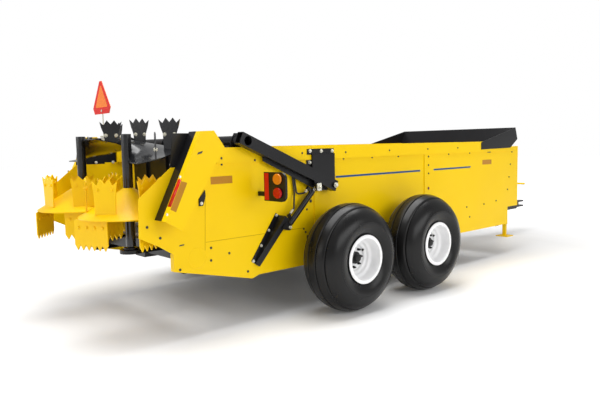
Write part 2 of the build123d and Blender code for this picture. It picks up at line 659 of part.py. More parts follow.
def drive_shaft():
    """Line shaft under the floor, from the splined input to the rear gearbox."""
    shoulder = SPLINE_END_X - SPLINE_LENGTH
    shaft = rod_x(SHAFT_RADIUS, APRON_REAR_X - 150, shoulder, 0, SHAFT_Z)
    shaft += rod_x(SPLINE_RADIUS, shoulder, SPLINE_END_X, 0, SHAFT_Z)
    guard = rod_x(46, BOLSTER_X + BOLSTER_LENGTH, shoulder - 20, 0, SHAFT_Z)
    guard -= rod_x(40, BOLSTER_X + BOLSTER_LENGTH + 6, shoulder - 19, 0, SHAFT_Z)
    return shaft + guard


# ---- endgate and its cylinders ----------------------------------------------------------
ARM_FORWARD = (math.cos(math.radians(ARM_ANGLE)), -math.sin(math.radians(ARM_ANGLE)))
ARM_MIDDLE_Y = ARM_INNER_Y + ARM_WIDTH / 2


def on_arm(along, above):
    """A point in the arm's own directions: along it to the front, and square above it."""
    x = ARM_PIVOT[0] + ARM_FORWARD[0] * along - ARM_FORWARD[1] * above
    z = ARM_PIVOT[1] + ARM_FORWARD[1] * along + ARM_FORWARD[0] * above
    return (x, z)


GATE_TUBE_CENTRE = on_arm(-GATE_TUBE_REACH, 0)


def arm_outline(half):
    return [on_arm(-ARM_REAR_REACH, -half), on_arm(ARM_FRONT_REACH, -half),
            on_arm(ARM_FRONT_REACH, half), on_arm(-ARM_REAR_REACH, half)]


def gate_arm():
    """Right-hand lift arm: a box tube, with a lug and a long gusset under it for the cylinder."""
    outer_y = ARM_INNER_Y + ARM_WIDTH
    steel = 6.0
    arm = prism_y(arm_outline(ARM_HEIGHT / 2), -outer_y, -ARM_INNER_Y)
    hollow = [on_arm(-ARM_REAR_REACH - 1, steel - ARM_HEIGHT / 2),
              on_arm(ARM_FRONT_REACH + 1, steel - ARM_HEIGHT / 2),
              on_arm(ARM_FRONT_REACH + 1, ARM_HEIGHT / 2 - steel),
              on_arm(-ARM_REAR_REACH - 1, ARM_HEIGHT / 2 - steel)]
    arm -= prism_y(hollow, -outer_y + steel, -ARM_INNER_Y - steel)
    arm -= rod_y(PIVOT_PIN_RADIUS + BEARING_GAP, -outer_y - 1, -ARM_INNER_Y + 1, *ARM_PIVOT)
    arm -= rod_y(GATE_TUBE_RADIUS + FIT_GAP, -outer_y - 1, -ARM_INNER_Y + 1, *GATE_TUBE_CENTRE)
    dx, dz = CYLINDER_HEAD[0] - ARM_PIVOT[0], CYLINDER_HEAD[1] - ARM_PIVOT[1]
    along = dx * ARM_FORWARD[0] + dz * ARM_FORWARD[1]
    depth = dx * -ARM_FORWARD[1] + dz * ARM_FORWARD[0]
    under = -ARM_HEIGHT / 2
    lug = [on_arm(along - 55, under), on_arm(along - 20, depth - 14), on_arm(along + 20, depth - 14),
           on_arm(along + 55, under)]
    gusset = [on_arm(-870, under), on_arm(-848, -84), on_arm(-246, -104), on_arm(-120, -96),
              on_arm(-25, -62), on_arm(-10, under)]
    outer_lug, inner_lug = lug_faces()
    arm += prism_y(lug, outer_lug - LUG_THICKNESS, outer_lug)
    arm += prism_y(gusset, inner_lug - LUG_THICKNESS, inner_lug)
    return arm


def lug_faces():
    """Left-hand faces of the two lug plates that stand beside a cylinder's eye."""
    gap = EYE_HALF_WIDTH + LUG_GAP
    return (-ARM_MIDDLE_Y - gap, -ARM_MIDDLE_Y + gap + LUG_THICKNESS)


def gate_tube():
    """Torque tube from arm to arm, with the hangers that hold the gate panel."""
    end = ARM_INNER_Y + ARM_WIDTH
    x, z = GATE_TUBE_CENTRE
    tube = rod_y(GATE_TUBE_RADIUS, -end, end, x, z)
    front = GATE_PANEL_X + 6
    hanger = [(front, 1470), (front, z), (x - 22, z + 68), (x + 32, z + 68), (x + 50, z),
              (x + 50, z - 45), (front + 30, 1470)]
    for y in (-866, -300, 300, 866):
        tube += prism_y(hanger, y - 4, y + 4)
    return tube - rod_y(GATE_TUBE_RADIUS - 6, -end - 1, end + 1, x, z)


def gate_panel():
    """Endgate sheet with edge and upright stiffeners on its rear face."""
    front = GATE_PANEL_X + 6
    half = GATE_HALF_WIDTH
    panel = block(GATE_PANEL_X, front, -half, half, GATE_PANEL_BOTTOM, GATE_PANEL_TOP)
    rear = GATE_PANEL_X - 24
    for low, high in ((GATE_PANEL_BOTTOM, GATE_PANEL_BOTTOM + 32), (GATE_PANEL_TOP - 32, GATE_PANEL_TOP)):
        panel += block(rear, GATE_PANEL_X, -half, half, low, high)
    for y in (-600, -200, 200, 600):
        panel += block(rear, GATE_PANEL_X, y - 25, y + 25, GATE_PANEL_BOTTOM, GATE_PANEL_TOP)
    return panel


def pivot_bracket():
    """Plate bolted to the right-hand top rail, with the pin that the lift arm turns on."""
    rail_face = -WALL_Y - RAIL_PROUD
    plate_y = rail_face - 6
    flange = block(-790, -442, plate_y, rail_face, 1451, 1504)
    shelf = block(-736, -442, plate_y - 12, rail_face, 1451, 1457)
    plate = block(-736, -440, plate_y - 12, plate_y, 1110, 1457)
    foot = block(-790, -724, -WALL_Y - 6, -WALL_Y, 1335, 1400)
    foot += block(-736, -724, plate_y - 6, -WALL_Y, 1335, 1400)
    arm_outer = ARM_INNER_Y + ARM_WIDTH
    pin = rod_y(PIVOT_PIN_RADIUS, -arm_outer - 3, plate_y - 12, *ARM_PIVOT)
    head = rod_y(PIVOT_PIN_RADIUS + 10, -arm_outer - 13, -arm_outer - 3, *ARM_PIVOT)
    return flange + shelf + plate + foot + pin + head


def cylinder_bracket():
    """Tapered channel bolted to the side sheet, with two lugs and a pin for the cylinder's foot."""
    top, bottom = (-1173, 944), (-1461, 549)
    length = math.dist(top, bottom)
    down = ((bottom[0] - top[0]) / length, (bottom[1] - top[1]) / length)
    frame = Plane(origin=(top[0], -WALL_Y, top[1]), x_dir=(down[0], 0, down[1]), z_dir=(0, -1, 0))
    deep, shallow, steel = 104.0, 22.0, 6.0
    flange = Box(length, 44, steel, align=(Align.MIN, Align.MIN, Align.MIN))

    def wedge(margin, y0, y1):
        points = [(-margin, 0), (length - margin, 0), (length - margin, shallow - margin),
                  (-margin, deep - margin)]
        face = Face(Wire.make_polygon([(x, y0, z) for x, z in points], close=True))
        return extrude(face, amount=y1 - y0, dir=(0, 1, 0))

    channel = wedge(0, 38, 96) - wedge(steel, 38 + steel, 96 - steel)
    bracket = frame * (flange + channel)
    side = (-down[1], down[0])

    def from_corner(along, across):
        return (top[0] + down[0] * along + side[0] * across,
                top[1] + down[1] * along + side[1] * across)

    foot_x, foot_z = CYLINDER_FOOT

    def from_pin(along, across):
        return (foot_x + down[0] * along + side[0] * across,
                foot_z + down[1] * along + side[1] * across)

    lug = [from_corner(26, 70), from_corner(115, 70), from_pin(28, 10), from_pin(14, 26),
           from_pin(-10, 26), from_pin(-24, 8)]
    lugs = [prism_y(lug, inner - LUG_THICKNESS, inner) for inner in lug_faces()]
    for plate in lugs:
        bracket += plate
    first, last = lug_faces()
    pin = rod_y(CYLINDER_PIN_RADIUS, first - LUG_THICKNESS - 5, last + 5, foot_x, foot_z)
    return bracket + pin


CYLINDER_LENGTH = math.dist(CYLINDER_FOOT, CYLINDER_HEAD)
CYLINDER_ANGLE = math.degrees(math.atan2(CYLINDER_HEAD[1] - CYLINDER_FOOT[1],
                                         CYLINDER_HEAD[0] - CYLINDER_FOOT[0]))


def on_cylinder(shape):
    """Moves a shape drawn along +X from the foot pin onto the right-hand cylinder's line."""
    return Pos(CYLINDER_FOOT[0], -ARM_MIDDLE_Y, CYLINDER_FOOT[1]) * Rot(0, -CYLINDER_ANGLE, 0) * shape


def on_cylinder_point(along, sideways, above):
    """A point in the right-hand cylinder's own directions, in the machine's frame."""
    turn = math.radians(CYLINDER_ANGLE)
    x = CYLINDER_FOOT[0] + math.cos(turn) * along - math.sin(turn) * above
    z = CYLINDER_FOOT[1] + math.sin(turn) * along + math.cos(turn) * above
    return (x, sideways - ARM_MIDDLE_Y, z)


def cylinder_barrel():
    """Hydraulic cylinder barrel with its foot eye."""
    start, end = 34.0, CYLINDER_LENGTH - 52
    eye = rod_y(EYE_RADIUS, -EYE_HALF_WIDTH, EYE_HALF_WIDTH, 0, 0)
    eye += rod_x(EYE_HALF_WIDTH - 1, 0, start + 5, 0, 0)
    barrel = eye + rod_x(BARREL_RADIUS, start, end, 0, 0)
    for port in (PORT_LOW, CYLINDER_LENGTH - PORT_HIGH_BACK):
        barrel += block(port, port + PORT_SIZE, -PORT_SIZE / 2, PORT_SIZE / 2, 0, PORT_HEIGHT)
    barrel -= rod_x(ROD_RADIUS + BEARING_GAP, start + 26, end + 1, 0, 0)
    barrel -= rod_y(CYLINDER_PIN_RADIUS + BEARING_GAP, -EYE_HALF_WIDTH - 20, EYE_HALF_WIDTH + 20, 0, 0)
    return on_cylinder(barrel)


def cylinder_rod():
    """Plated rod with its head eye. The head pin's middle part stays in the eye."""
    start = 62.0
    rod = rod_x(ROD_RADIUS, start, CYLINDER_LENGTH, 0, 0)
    rod += rod_y(EYE_RADIUS - 3, -EYE_HALF_WIDTH, EYE_HALF_WIDTH, CYLINDER_LENGTH, 0)
    return on_cylinder(rod)


def cylinder_hoses():
    """Two short hoses, from the cylinder's ports up behind the lift arm."""
    # Each route: its start at the port, where it turns, and its end beside the wall.
    low = PORT_LOW + PORT_SIZE
    high = CYLINDER_LENGTH - PORT_HIGH_BACK
    hose_y = WALL_Y + 20
    beside_wall = ARM_MIDDLE_Y - hose_y
    routes = [
        [on_cylinder_point(low, 0, HOSE_LIFT), on_cylinder_point(low + 76, 0, HOSE_LIFT),
         on_cylinder_point(308, beside_wall, 125), (-985, -hose_y, 1290)],
        [on_cylinder_point(high, 0, HOSE_LIFT), on_cylinder_point(high - 46, 0, HOSE_LIFT),
         on_cylinder_point(high - 92, beside_wall, 88), (-965, -hose_y, 1290)],
    ]
    hoses = []
    for route in routes:
        line = FilletPolyline(*route, radius=28)
        start = line @ 0
        hoses.append(sweep(Plane(origin=start, z_dir=line % 0) * Circle(HOSE_RADIUS), path=line))
    return hoses


# ---- lamps and emblem -------------------------------------------------------------------
def tail_lamp():
    """Right-hand lamp unit on its stub arm: reflector plate and lamp housing, facing the rear."""
    face_x = -1372.0
    inner, split, outer = -WALL_Y - 95, -WALL_Y - 165, -WALL_Y - 375
    low, high = 1075.0, 1320.0
    plate = block(face_x, face_x + 6, split, inner, low, high)
    housing = block(face_x, face_x + 22, outer, split, low, high)
    edges = housing.edges().filter_by(Axis.X).group_by(Axis.Y)[0]
    housing = fillet(edges, 60)
    stub = block(face_x + 6, face_x + 44, inner - 20, -WALL_Y, 1112, 1150)
    return plate + housing + stub


def emblem():
    """Slow-vehicle triangle on a thin rod, clamped to the left-hand upper plate."""
    x, y = -1918.0, WALL_Y - 25
    clamp = block(x - 20, x + 20, y - 15, WALL_Y - SHEET, 1590, REAR_EXTENSION_TOP)
    mast = rod_z(5, REAR_EXTENSION_TOP, 2040, x, y)
    foot, height, half = 1898.0, 330.0, 205.0
    outline = [(-half + 35, foot), (half - 35, foot), (half, foot + 62), (26, foot + height),
               (-26, foot + height), (-half, foot + 62)]
    plate = prism_x(outline, -2, 2)
    return clamp + mast + Pos(x - 7, y, 0) * plate


# ---- assembly ---------------------------------------------------------------------------
def build():
    """Every node, by name, in the tandem-centred frame. A list is solids that don't touch."""
    nodes = {
        "chassis_rails": [chassis_rail(), mirrored(chassis_rail())],
        "cross_members": cross_members(),
        "floor": floor(),
        "apron_chains": apron_chains(),
        "apron_slats": apron_slats(),
        "apron_shafts": apron_shafts(),
        "front_wall": front_wall(),
        "front_extension": front_extension(),
        "beater_beam": beater_beam(),
        "front_bolster": front_bolster(),
        "tongue_beam": tongue_beam(),
        "tongue_braces": [tongue_brace(), mirrored(tongue_brace())],
        "hitch_clevis": hitch_clevis(),
        "jack": jack(),
        "drive_shaft": drive_shaft(),
        "tandem_axle": tandem_axle(),
        "walking_beams": [walking_beam(), mirrored(walking_beam())],
        "warning_triangle": emblem(),
        "gate_arms": [gate_arm(), mirrored(gate_arm())],
        "gate_tube": gate_tube(),
        "gate_panel": gate_panel(),
    }
    handed = {
        "side_wall": side_wall(),
        "top_rail": top_rail(),
        "rear_side": rear_side(),
        "rear_bracket": rear_bracket(),
        "light_panel": light_panel(),
        "gate_brackets": [pivot_bracket(), cylinder_bracket()],
        "tail_lamp": tail_lamp(),
        "cylinder_barrel": cylinder_barrel(),
        "cylinder_rod": cylinder_rod(),
        "cylinder_hoses": cylinder_hoses(),
    }
    for name, shape in handed.items():
        nodes[name + "_right"] = shape
        pieces = shape if isinstance(shape, list) else [shape]
        nodes[name + "_left"] = [mirrored(piece) for piece in pieces]
    for end, x in (("front", WHEEL_SPACING / 2), ("rear", -WHEEL_SPACING / 2)):
        for name, side in (("right", -1), ("left", 1)):
            nodes[f"tyre_{end}_{name}"] = tyre(x, side)
            nodes[f"rim_{end}_{name}"] = rim(x, side)
    auger, thrower = beater_auger(), beater_thrower()
    for name, side in (("right", -1), ("left", 1)):
        nodes["beater_auger_" + name] = placed_beater(auger, side)
        nodes["beater_thrower_" + name] = placed_beater(thrower, side)
    return nodes


def solids_of(shape):
    pieces = shape if isinstance(shape, list) else [shape]
    return [solid for piece in pieces for solid in piece.solids()]


NODES = {name: solids_of(shape) for name, shape in build().items()}
BOXES = [solid.bounding_box() for solids in NODES.values() for solid in solids]
SHIFT = (
    -(min(box.min.X for box in BOXES) + max(box.max.X for box in BOXES)) / 2,
    -(min(box.min.Y for box in BOXES) + max(box.max.Y for box in BOXES)) / 2,
    -min(box.min.Z for box in BOXES),
)


def export_all():
    os.makedirs("parts", exist_ok=True)
    for name, solids in NODES.items():
        moved = [Pos(*SHIFT) * solid for solid in solids]
        export_step(Compound(children=moved) if len(moved) > 1 else moved[0], f"parts/{name}.step")


if __name__ == "__main__":
    export_all()
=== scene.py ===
import json
import math

import bpy
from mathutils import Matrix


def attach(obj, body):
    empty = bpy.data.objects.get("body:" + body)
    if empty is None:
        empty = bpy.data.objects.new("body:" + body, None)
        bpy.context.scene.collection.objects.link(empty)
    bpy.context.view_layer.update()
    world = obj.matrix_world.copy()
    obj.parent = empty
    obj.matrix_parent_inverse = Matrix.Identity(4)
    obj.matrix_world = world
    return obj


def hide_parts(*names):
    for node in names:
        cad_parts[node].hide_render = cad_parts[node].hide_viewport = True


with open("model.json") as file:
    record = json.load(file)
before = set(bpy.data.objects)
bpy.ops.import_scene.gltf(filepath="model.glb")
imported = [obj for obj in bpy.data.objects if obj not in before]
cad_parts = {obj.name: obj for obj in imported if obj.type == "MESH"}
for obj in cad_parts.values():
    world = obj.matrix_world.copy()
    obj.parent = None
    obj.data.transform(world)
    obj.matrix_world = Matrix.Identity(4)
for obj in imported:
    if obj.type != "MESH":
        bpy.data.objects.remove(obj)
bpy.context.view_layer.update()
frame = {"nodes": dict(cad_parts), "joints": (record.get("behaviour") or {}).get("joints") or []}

# ---- Camera, floor and studio lamps ----------------------------------------------------------
# The camera stands behind the machine's right rear corner at about eye height. A broad lamp
# hangs over the box, two more stand at its right and behind it, and the white room fills in.

# Places along the machine are from the middle of its tandem, between the front and the rear
# wheel's spindles, and heights are from the ground that the tyres stand on.
wheel_centre = {j["child"]: j["pos_m"] for j in frame["joints"] if j["child"].startswith("wheel")}
tandem = (wheel_centre["wheel_front_right"][0] + wheel_centre["wheel_rear_right"][0]) / 2

bpy.ops.object.select_all(action="DESELECT")
bpy.ops.object.camera_add(location=(tandem - 4.5501, -4.9825, 1.547),
                          rotation=[math.radians(a) for a in (84.67, 1.192, -42.241)])
camera = bpy.context.object
camera.name = "camera"
camera.data.sensor_width = 36.0
camera.data.lens = 35.72
camera.data.clip_end = 200.0
bpy.context.scene.camera = camera
bpy.context.scene.view_settings.view_transform = "Standard"


def seen_directly(material_nodes, links):
    """One where a ray comes straight from the camera, a mirror or a glass, and nought elsewhere."""
    path = material_nodes.new("ShaderNodeLightPath")
    first = material_nodes.new("ShaderNodeMath")
    first.operation = "MAXIMUM"
    second = material_nodes.new("ShaderNodeMath")
    second.operation = "MAXIMUM"
    links.new(path.outputs["Is Camera Ray"], first.inputs[0])
    links.new(path.outputs["Is Glossy Ray"], first.inputs[1])
    links.new(first.outputs[0], second.inputs[0])
    links.new(path.outputs["Is Transmission Ray"], second.inputs[1])
    return second.outputs[0]


bpy.ops.mesh.primitive_plane_add(size=90.0, location=(0, 0, -0.0005))
floor = bpy.context.object
floor.name = "studio_floor"
floor_paint = bpy.data.materials.new("studio_floor")
floor_paint.use_nodes = True
n, l = floor_paint.node_tree.nodes, floor_paint.node_tree.links
matt = n["Principled BSDF"]
matt.inputs["Base Color"].default_value = (0.86, 0.86, 0.86, 1)
matt.inputs["Roughness"].default_value = 0.55
glow = n.new("ShaderNodeEmission")
spot = n.new("ShaderNodeTexCoord")
away = n.new("ShaderNodeVectorMath")
away.operation = "LENGTH"
fade = n.new("ShaderNodeMapRange")
fade.inputs["From Min"].default_value = 3.2
fade.inputs["From Max"].default_value = 7.5
fade.inputs["To Min"].default_value = 0.02
fade.inputs["To Max"].default_value = 0.70
l.new(spot.outputs["Object"], away.inputs[0])
l.new(away.outputs["Value"], fade.inputs["Value"])
l.new(fade.outputs["Result"], glow.inputs["Strength"])
unlit = n.new("ShaderNodeEmission")
unlit.inputs["Strength"].default_value = 0
lift = n.new("ShaderNodeMixShader")
both = n.new("ShaderNodeAddShader")
l.new(seen_directly(n, l), lift.inputs[0])
l.new(unlit.outputs[0], lift.inputs[1])
l.new(glow.outputs[0], lift.inputs[2])
l.new(matt.outputs[0], both.inputs[0])
l.new(lift.outputs[0], both.inputs[1])
l.new(both.outputs[0], n["Material Output"].inputs["Surface"])
floor.data.materials.append(floor_paint)

world = bpy.context.scene.world or bpy.data.worlds.new("studio")
bpy.context.scene.world = world
world.use_nodes = True
n, l = world.node_tree.nodes, world.node_tree.links
air = n["Background"]
air.inputs["Color"].default_value = (1, 1, 1, 1)
room = n.new("ShaderNodeMix")
room.data_type = "FLOAT"
path = n.new("ShaderNodeLightPath")
either = n.new("ShaderNodeMath")
either.operation = "MAXIMUM"
l.new(path.outputs["Is Camera Ray"], either.inputs[0])
l.new(path.outputs["Is Transmission Ray"], either.inputs[1])
l.new(either.outputs[0], room.inputs[0])
room.inputs[2].default_value = 0.50
room.inputs[3].default_value = 1.0
l.new(room.outputs[0], air.inputs["Strength"])


def studio_lamp(name, place, turn, size, power):
    """A rectangular soft light, turned from pointing straight down."""
    bpy.ops.object.light_add(type="AREA", location=place, rotation=[math.radians(a) for a in turn])
    lamp = bpy.context.object
    lamp.name = name
    lamp.data.shape = "RECTANGLE"
    lamp.data.size, lamp.data.size_y = size
    lamp.data.energy = power


studio_lamp("lamp_overhead", (-1.3, -0.5, 6.5), (0, 0, 0), (7.5, 4.0), 540)
studio_lamp("lamp_right", (tandem + 0.5, -7.5, 3.2), (68, 0, 0), (7.0, 2.6), 200)
studio_lamp("lamp_rear", (tandem - 7.5, 1.5, 3.0), (68, 0, -90), (5.0, 2.6), 150)

# ---- Side sheets, beater bay sheets and front wall -------------------------------------------
# The box is welded from 5 mm steel sheet and sprayed yellow in one colour. The sheets are a
# little wavy between their posts, and the gloss enamel has a fine orange-peel skin.


def enamel(name, colour, shade, gloss, coat, wave=0.0, specular=0.5):
    """Sprayed enamel on steel: clouds of a second shade, uneven gloss, and a wavy sheet."""
    m = bpy.data.materials.new(name)
    m.use_nodes = True
    n, l = m.node_tree.nodes, m.node_tree.links
    skin = n["Principled BSDF"]
    place = n.new("ShaderNodeTexCoord")
    cloud = n.new("ShaderNodeTexNoise")
    cloud.inputs["Scale"].default_value = 2.6
    cloud.inputs["Detail"].default_value = 4.0
    tone = n.new("ShaderNodeMix")
    tone.data_type = "RGBA"
    tone.inputs[6].default_value = (*colour, 1)
    tone.inputs[7].default_value = (*shade, 1)
    dull = n.new("ShaderNodeMapRange")
    dull.inputs["To Min"].default_value = gloss - 0.06
    dull.inputs["To Max"].default_value = gloss + 0.10
    peel = n.new("ShaderNodeTexNoise")
    peel.inputs["Scale"].default_value = 240.0
    peel_bump = n.new("ShaderNodeBump")
    peel_bump.inputs["Strength"].default_value = 0.12
    peel_bump.inputs["Distance"].default_value = 0.0004
    l.new(place.outputs["Object"], cloud.inputs["Vector"])
    l.new(place.outputs["Object"], peel.inputs["Vector"])
    l.new(cloud.outputs["Fac"], tone.inputs[0])
    l.new(cloud.outputs["Fac"], dull.inputs["Value"])
    l.new(tone.outputs[2], skin.inputs["Base Color"])
    l.new(dull.outputs["Result"], skin.inputs["Roughness"])
    l.new(peel.outputs["Fac"], peel_bump.inputs["Height"])
    l.new(peel_bump.outputs["Normal"], skin.inputs["Normal"])
    if wave:
        dent = n.new("ShaderNodeTexNoise")
        dent.inputs["Scale"].default_value = 1.7
        dent.inputs["Detail"].default_value = 1.0
        dent_bump = n.new("ShaderNodeBump")
        dent_bump.inputs["Strength"].default_value = 1.0
        dent_bump.inputs["Distance"].default_value = wave
        l.new(place.outputs["Object"], dent.inputs["Vector"])
        l.new(dent.outputs["Fac"], dent_bump.inputs["Height"])
        l.new(dent_bump.outputs["Normal"], peel_bump.inputs["Normal"])
    skin.inputs["Coat Weight"].default_value = coat
    skin.inputs["Coat Roughness"].default_value = 0.12
    skin.inputs["Specular IOR Level"].default_value = specular
    return m


nodes = frame["nodes"]


def dress(node_name, finish):
    """A CAD node keeps its shape and takes this finish."""
    mesh = nodes[node_name].data
    mesh.materials.clear()
    mesh.materials.append(finish)


def both_sides(*names):
    """Each node name as its right-hand and its left-hand node."""
    return [name + side for name in names for side in ("_right", "_left")]


wall_yellow = enamel("wall_yellow_enamel", (0.90, 0.60, 0.0), (0.86, 0.55, 0.0), 0.36, 0.05, wave=0.012,
                     specular=0.15)
yellow_nodes = both_sides("side_wall", "rear_side", "light_panel", "top_rail") + ["front_wall"]
for name in yellow_nodes:
    dress(name, wall_yellow)

# ---- Chassis, running gear, lift arms, gate and upper plates ---------------------------------
# These are rolled sections, tubes and plates, cut, welded together and sprayed with one coat of
# gloss black. Parts that are not painted black get their own finish further down.
black_enamel = enamel("black_enamel", (0.005, 0.005, 0.006), (0.009, 0.009, 0.010), 0.30, 0.08,
                      specular=0.22)
for name in nodes:
    if name not in yellow_nodes:
        dress(name, black_enamel)

# ---- Tyres -----------------------------------------------------------------------------------
# Four wide implement tyres of black rubber, moulded with five smooth ribs and four grooves, and
# with a raised ring on each sidewall. Every section round a tyre is alike, so it is spun.


def spun(name, section, centre, side, steps):
    """Draws a closed section, (out from the wheel's middle, radius), and spins it about Y."""
    bpy.ops.object.select_all(action="DESELECT")
    curve = bpy.data.curves.new(name, "CURVE")
    curve.dimensions = "3D"
    line = curve.splines.new("POLY")
    line.points.add(len(section) - 1)
    for point, (out, radius) in zip(line.points, section):
        point.co = (centre[0], centre[1] + side * out, centre[2] + radius, 1)
    line.use_cyclic_u = True
    piece = bpy.data.objects.new(name, curve)
    bpy.context.collection.objects.link(piece)
    bpy.context.view_layer.objects.active = piece
    piece.select_set(True)
    bpy.ops.object.convert(target="MESH")
    piece = bpy.context.object
    bpy.ops.object.mode_set(mode="EDIT")
    bpy.ops.mesh.select_all(action="SELECT")
    bpy.ops.mesh.spin(steps=steps, angle=math.tau, center=centre, axis=(0, 1, 0))
    bpy.ops.mesh.select_all(action="SELECT")
    bpy.ops.mesh.remove_doubles(threshold=0.0002)
    bpy.ops.mesh.normals_make_consistent(inside=False)
    bpy.ops.object.mode_set(mode="OBJECT")
    bpy.ops.object.shade_smooth_by_angle(angle=math.radians(38))
    piece.name = name
    return piece


def arc(start, through, end, count):
    """Points along the circle through three points, without the last one."""
    (ax, ay), (bx, by), (cx, cy) = start, through, end
    a2, b2, c2 = ax * ax + ay * ay, bx * bx + by * by, cx * cx + cy * cy
    d = 2 * (ax * (by - cy) + bx * (cy - ay) + cx * (ay - by))
    ux = (a2 * (by - cy) + b2 * (cy - ay) + c2 * (ay - by)) / d
    uy = (a2 * (cx - bx) + b2 * (ax - cx) + c2 * (bx - ax)) / d
    radius = math.hypot(ax - ux, ay - uy)
    first = math.atan2(ay - uy, ax - ux)
    sweep = math.atan2(cy - uy, cx - ux) - first
    sweep -= math.tau * round(sweep / math.tau)
    turns = [first + sweep * i / count for i in range(count)]
    return [(ux + radius * math.cos(turn), uy + radius * math.sin(turn)) for turn in turns]


tyre_radius = wheel_centre["wheel_front_right"][2]
shoulder_out, shoulder_drop = 0.150, 0.050
crown_sweep = (shoulder_out ** 2 + shoulder_drop ** 2) / (2 * shoulder_drop)


def crown(out):
    """The tread's rounded crown: its radius at a distance from the tyre's middle."""
    return tyre_radius - crown_sweep + math.sqrt(crown_sweep ** 2 - out ** 2)


groove_places = (-0.128, -0.046, 0.046, 0.128)
groove_half, groove_depth, groove_lip = 0.006, 0.011, 0.003
tread = []
for middle in groove_places:
    left, right, floor_radius = middle - groove_half, middle + groove_half, crown(middle) - groove_depth
    tread += [(left - groove_lip, crown(left - groove_lip)), (left, crown(left) - groove_lip),
              (left + groove_lip, floor_radius), (right - groove_lip, floor_radius),
              (right, crown(right) - groove_lip), (right + groove_lip, crown(right + groove_lip))]
tread += [(out / 1000, crown(out / 1000)) for out in (-106, -86, -66, -22, 0, 22, 66, 86, 106)]
tread.sort()
outer_side = (arc((shoulder_out, tyre_radius - shoulder_drop), (0.198, 0.400), (0.222, 0.340), 9)
              + [(0.2225, 0.3375), (0.2205, 0.3345)]
              + arc((0.2212, 0.332), (0.211, 0.280), (0.184, 0.232), 8)
              + [(0.1835, 0.229), (0.181, 0.226), (0.181, 0.206)])
inner_side = [(-out, radius) for out, radius in reversed(outer_side)]
cavity = [(-0.153, 0.206), (-0.190, 0.290), (-0.192, 0.350), (-0.150, 0.402), (0.0, 0.473),
          (0.150, 0.402), (0.192, 0.350), (0.190, 0.290), (0.153, 0.206)]
tyre_section = inner_side + tread + outer_side + cavity[::-1]

tyre_rubber = bpy.data.materials.new("tyre_rubber")
tyre_rubber.use_nodes = True
n, l = tyre_rubber.node_tree.nodes, tyre_rubber.node_tree.links
skin = n["Principled BSDF"]
skin.inputs["Specular IOR Level"].default_value = 0.24
place = n.new("ShaderNodeTexCoord")
bloom = n.new("ShaderNodeTexNoise")
bloom.inputs["Scale"].default_value = 5.0
bloom.inputs["Detail"].default_value = 5.0
tone = n.new("ShaderNodeMix")
tone.data_type = "RGBA"
tone.inputs[6].default_value = (0.004, 0.004, 0.0045, 1)
tone.inputs[7].default_value = (0.008, 0.0078, 0.0075, 1)
dull = n.new("ShaderNodeMapRange")
dull.inputs["To Min"].default_value = 0.22
dull.inputs["To Max"].default_value = 0.36
grain = n.new("ShaderNodeTexNoise")
grain.inputs["Scale"].default_value = 420.0
grain_bump = n.new("ShaderNodeBump")
grain_bump.inputs["Strength"].default_value = 0.25
grain_bump.inputs["Distance"].default_value = 0.0005
l.new(place.outputs["Object"], bloom.inputs["Vector"])
l.new(place.outputs["Object"], grain.inputs["Vector"])
l.new(bloom.outputs["Fac"], tone.inputs[0])
l.new(bloom.outputs["Fac"], dull.inputs["Value"])
l.new(tone.outputs[2], skin.inputs["Base Color"])
l.new(dull.outputs["Result"], skin.inputs["Roughness"])
l.new(grain.outputs["Fac"], grain_bump.inputs["Height"])
l.new(grain_bump.outputs["Normal"], skin.inputs["Normal"])

wheels = [(end + "_" + side_name, wheel_centre["wheel_" + end + "_" + side_name], side)
          for end in ("front", "rear") for side_name, side in (("right", -1), ("left", 1))]
for wheel, centre, side in wheels:
    tyre = spun("tyre_tread_" + wheel, tyre_section, centre, side, 112)
    tyre.data.materials.append(tyre_rubber)
    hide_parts("tyre_" + wheel)
    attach(tyre, "wheel_" + wheel)

# ---- Wheel rims, hubs and nuts ---------------------------------------------------------------
# Deep-dished rims are pressed from steel in steps and sprayed white. A black cast hub with a
# capped end stands in each dish, with a ring of black nuts on studs round it.
rim_section = [
    (0.200, 0.192), (0.2005, 0.210), (0.199, 0.2195), (0.195, 0.2235), (0.190, 0.2225), (0.1865, 0.218),
    (0.1845, 0.2085), (0.1800, 0.2050), (0.152, 0.2045), (0.060, 0.1990), (-0.060, 0.1990),
    (-0.152, 0.2045), (-0.180, 0.2050), (-0.1845, 0.2085), (-0.1865, 0.218), (-0.190, 0.2225),
    (-0.195, 0.2235), (-0.199, 0.2195), (-0.2005, 0.210), (-0.200, 0.192), (-0.060, 0.1900),
    (0.040, 0.1890), (0.0325, 0.160), (0.022, 0.122), (0.022, 0.056), (0.032, 0.056), (0.032, 0.118),
    (0.0355, 0.1235), (0.0520, 0.1270), (0.0565, 0.1310), (0.0640, 0.1480), (0.0700, 0.1520),
    (0.0860, 0.1560), (0.0905, 0.1600), (0.0985, 0.1770), (0.1045, 0.1815), (0.1230, 0.1850),
    (0.1700, 0.1880),
]
white_enamel = enamel("white_enamel", (0.90, 0.90, 0.90), (0.84, 0.84, 0.85), 0.34, 0.20)
hub_section = [(-0.078, 0.0305), (0.073, 0.0305), (0.073, 0.001), (0.106, 0.001), (0.106, 0.026),
               (0.1035, 0.0335), (0.098, 0.0370), (0.078, 0.0385), (0.076, 0.0500), (0.072, 0.0560),
               (0.030, 0.0580), (-0.070, 0.0580), (-0.078, 0.0540)]
nut_ring, nut_count, nut_across, nut_height = 0.092, 8, 0.026, 0.020
stud_radius, stud_length, dish_floor_out = 0.0075, 0.034, 0.032
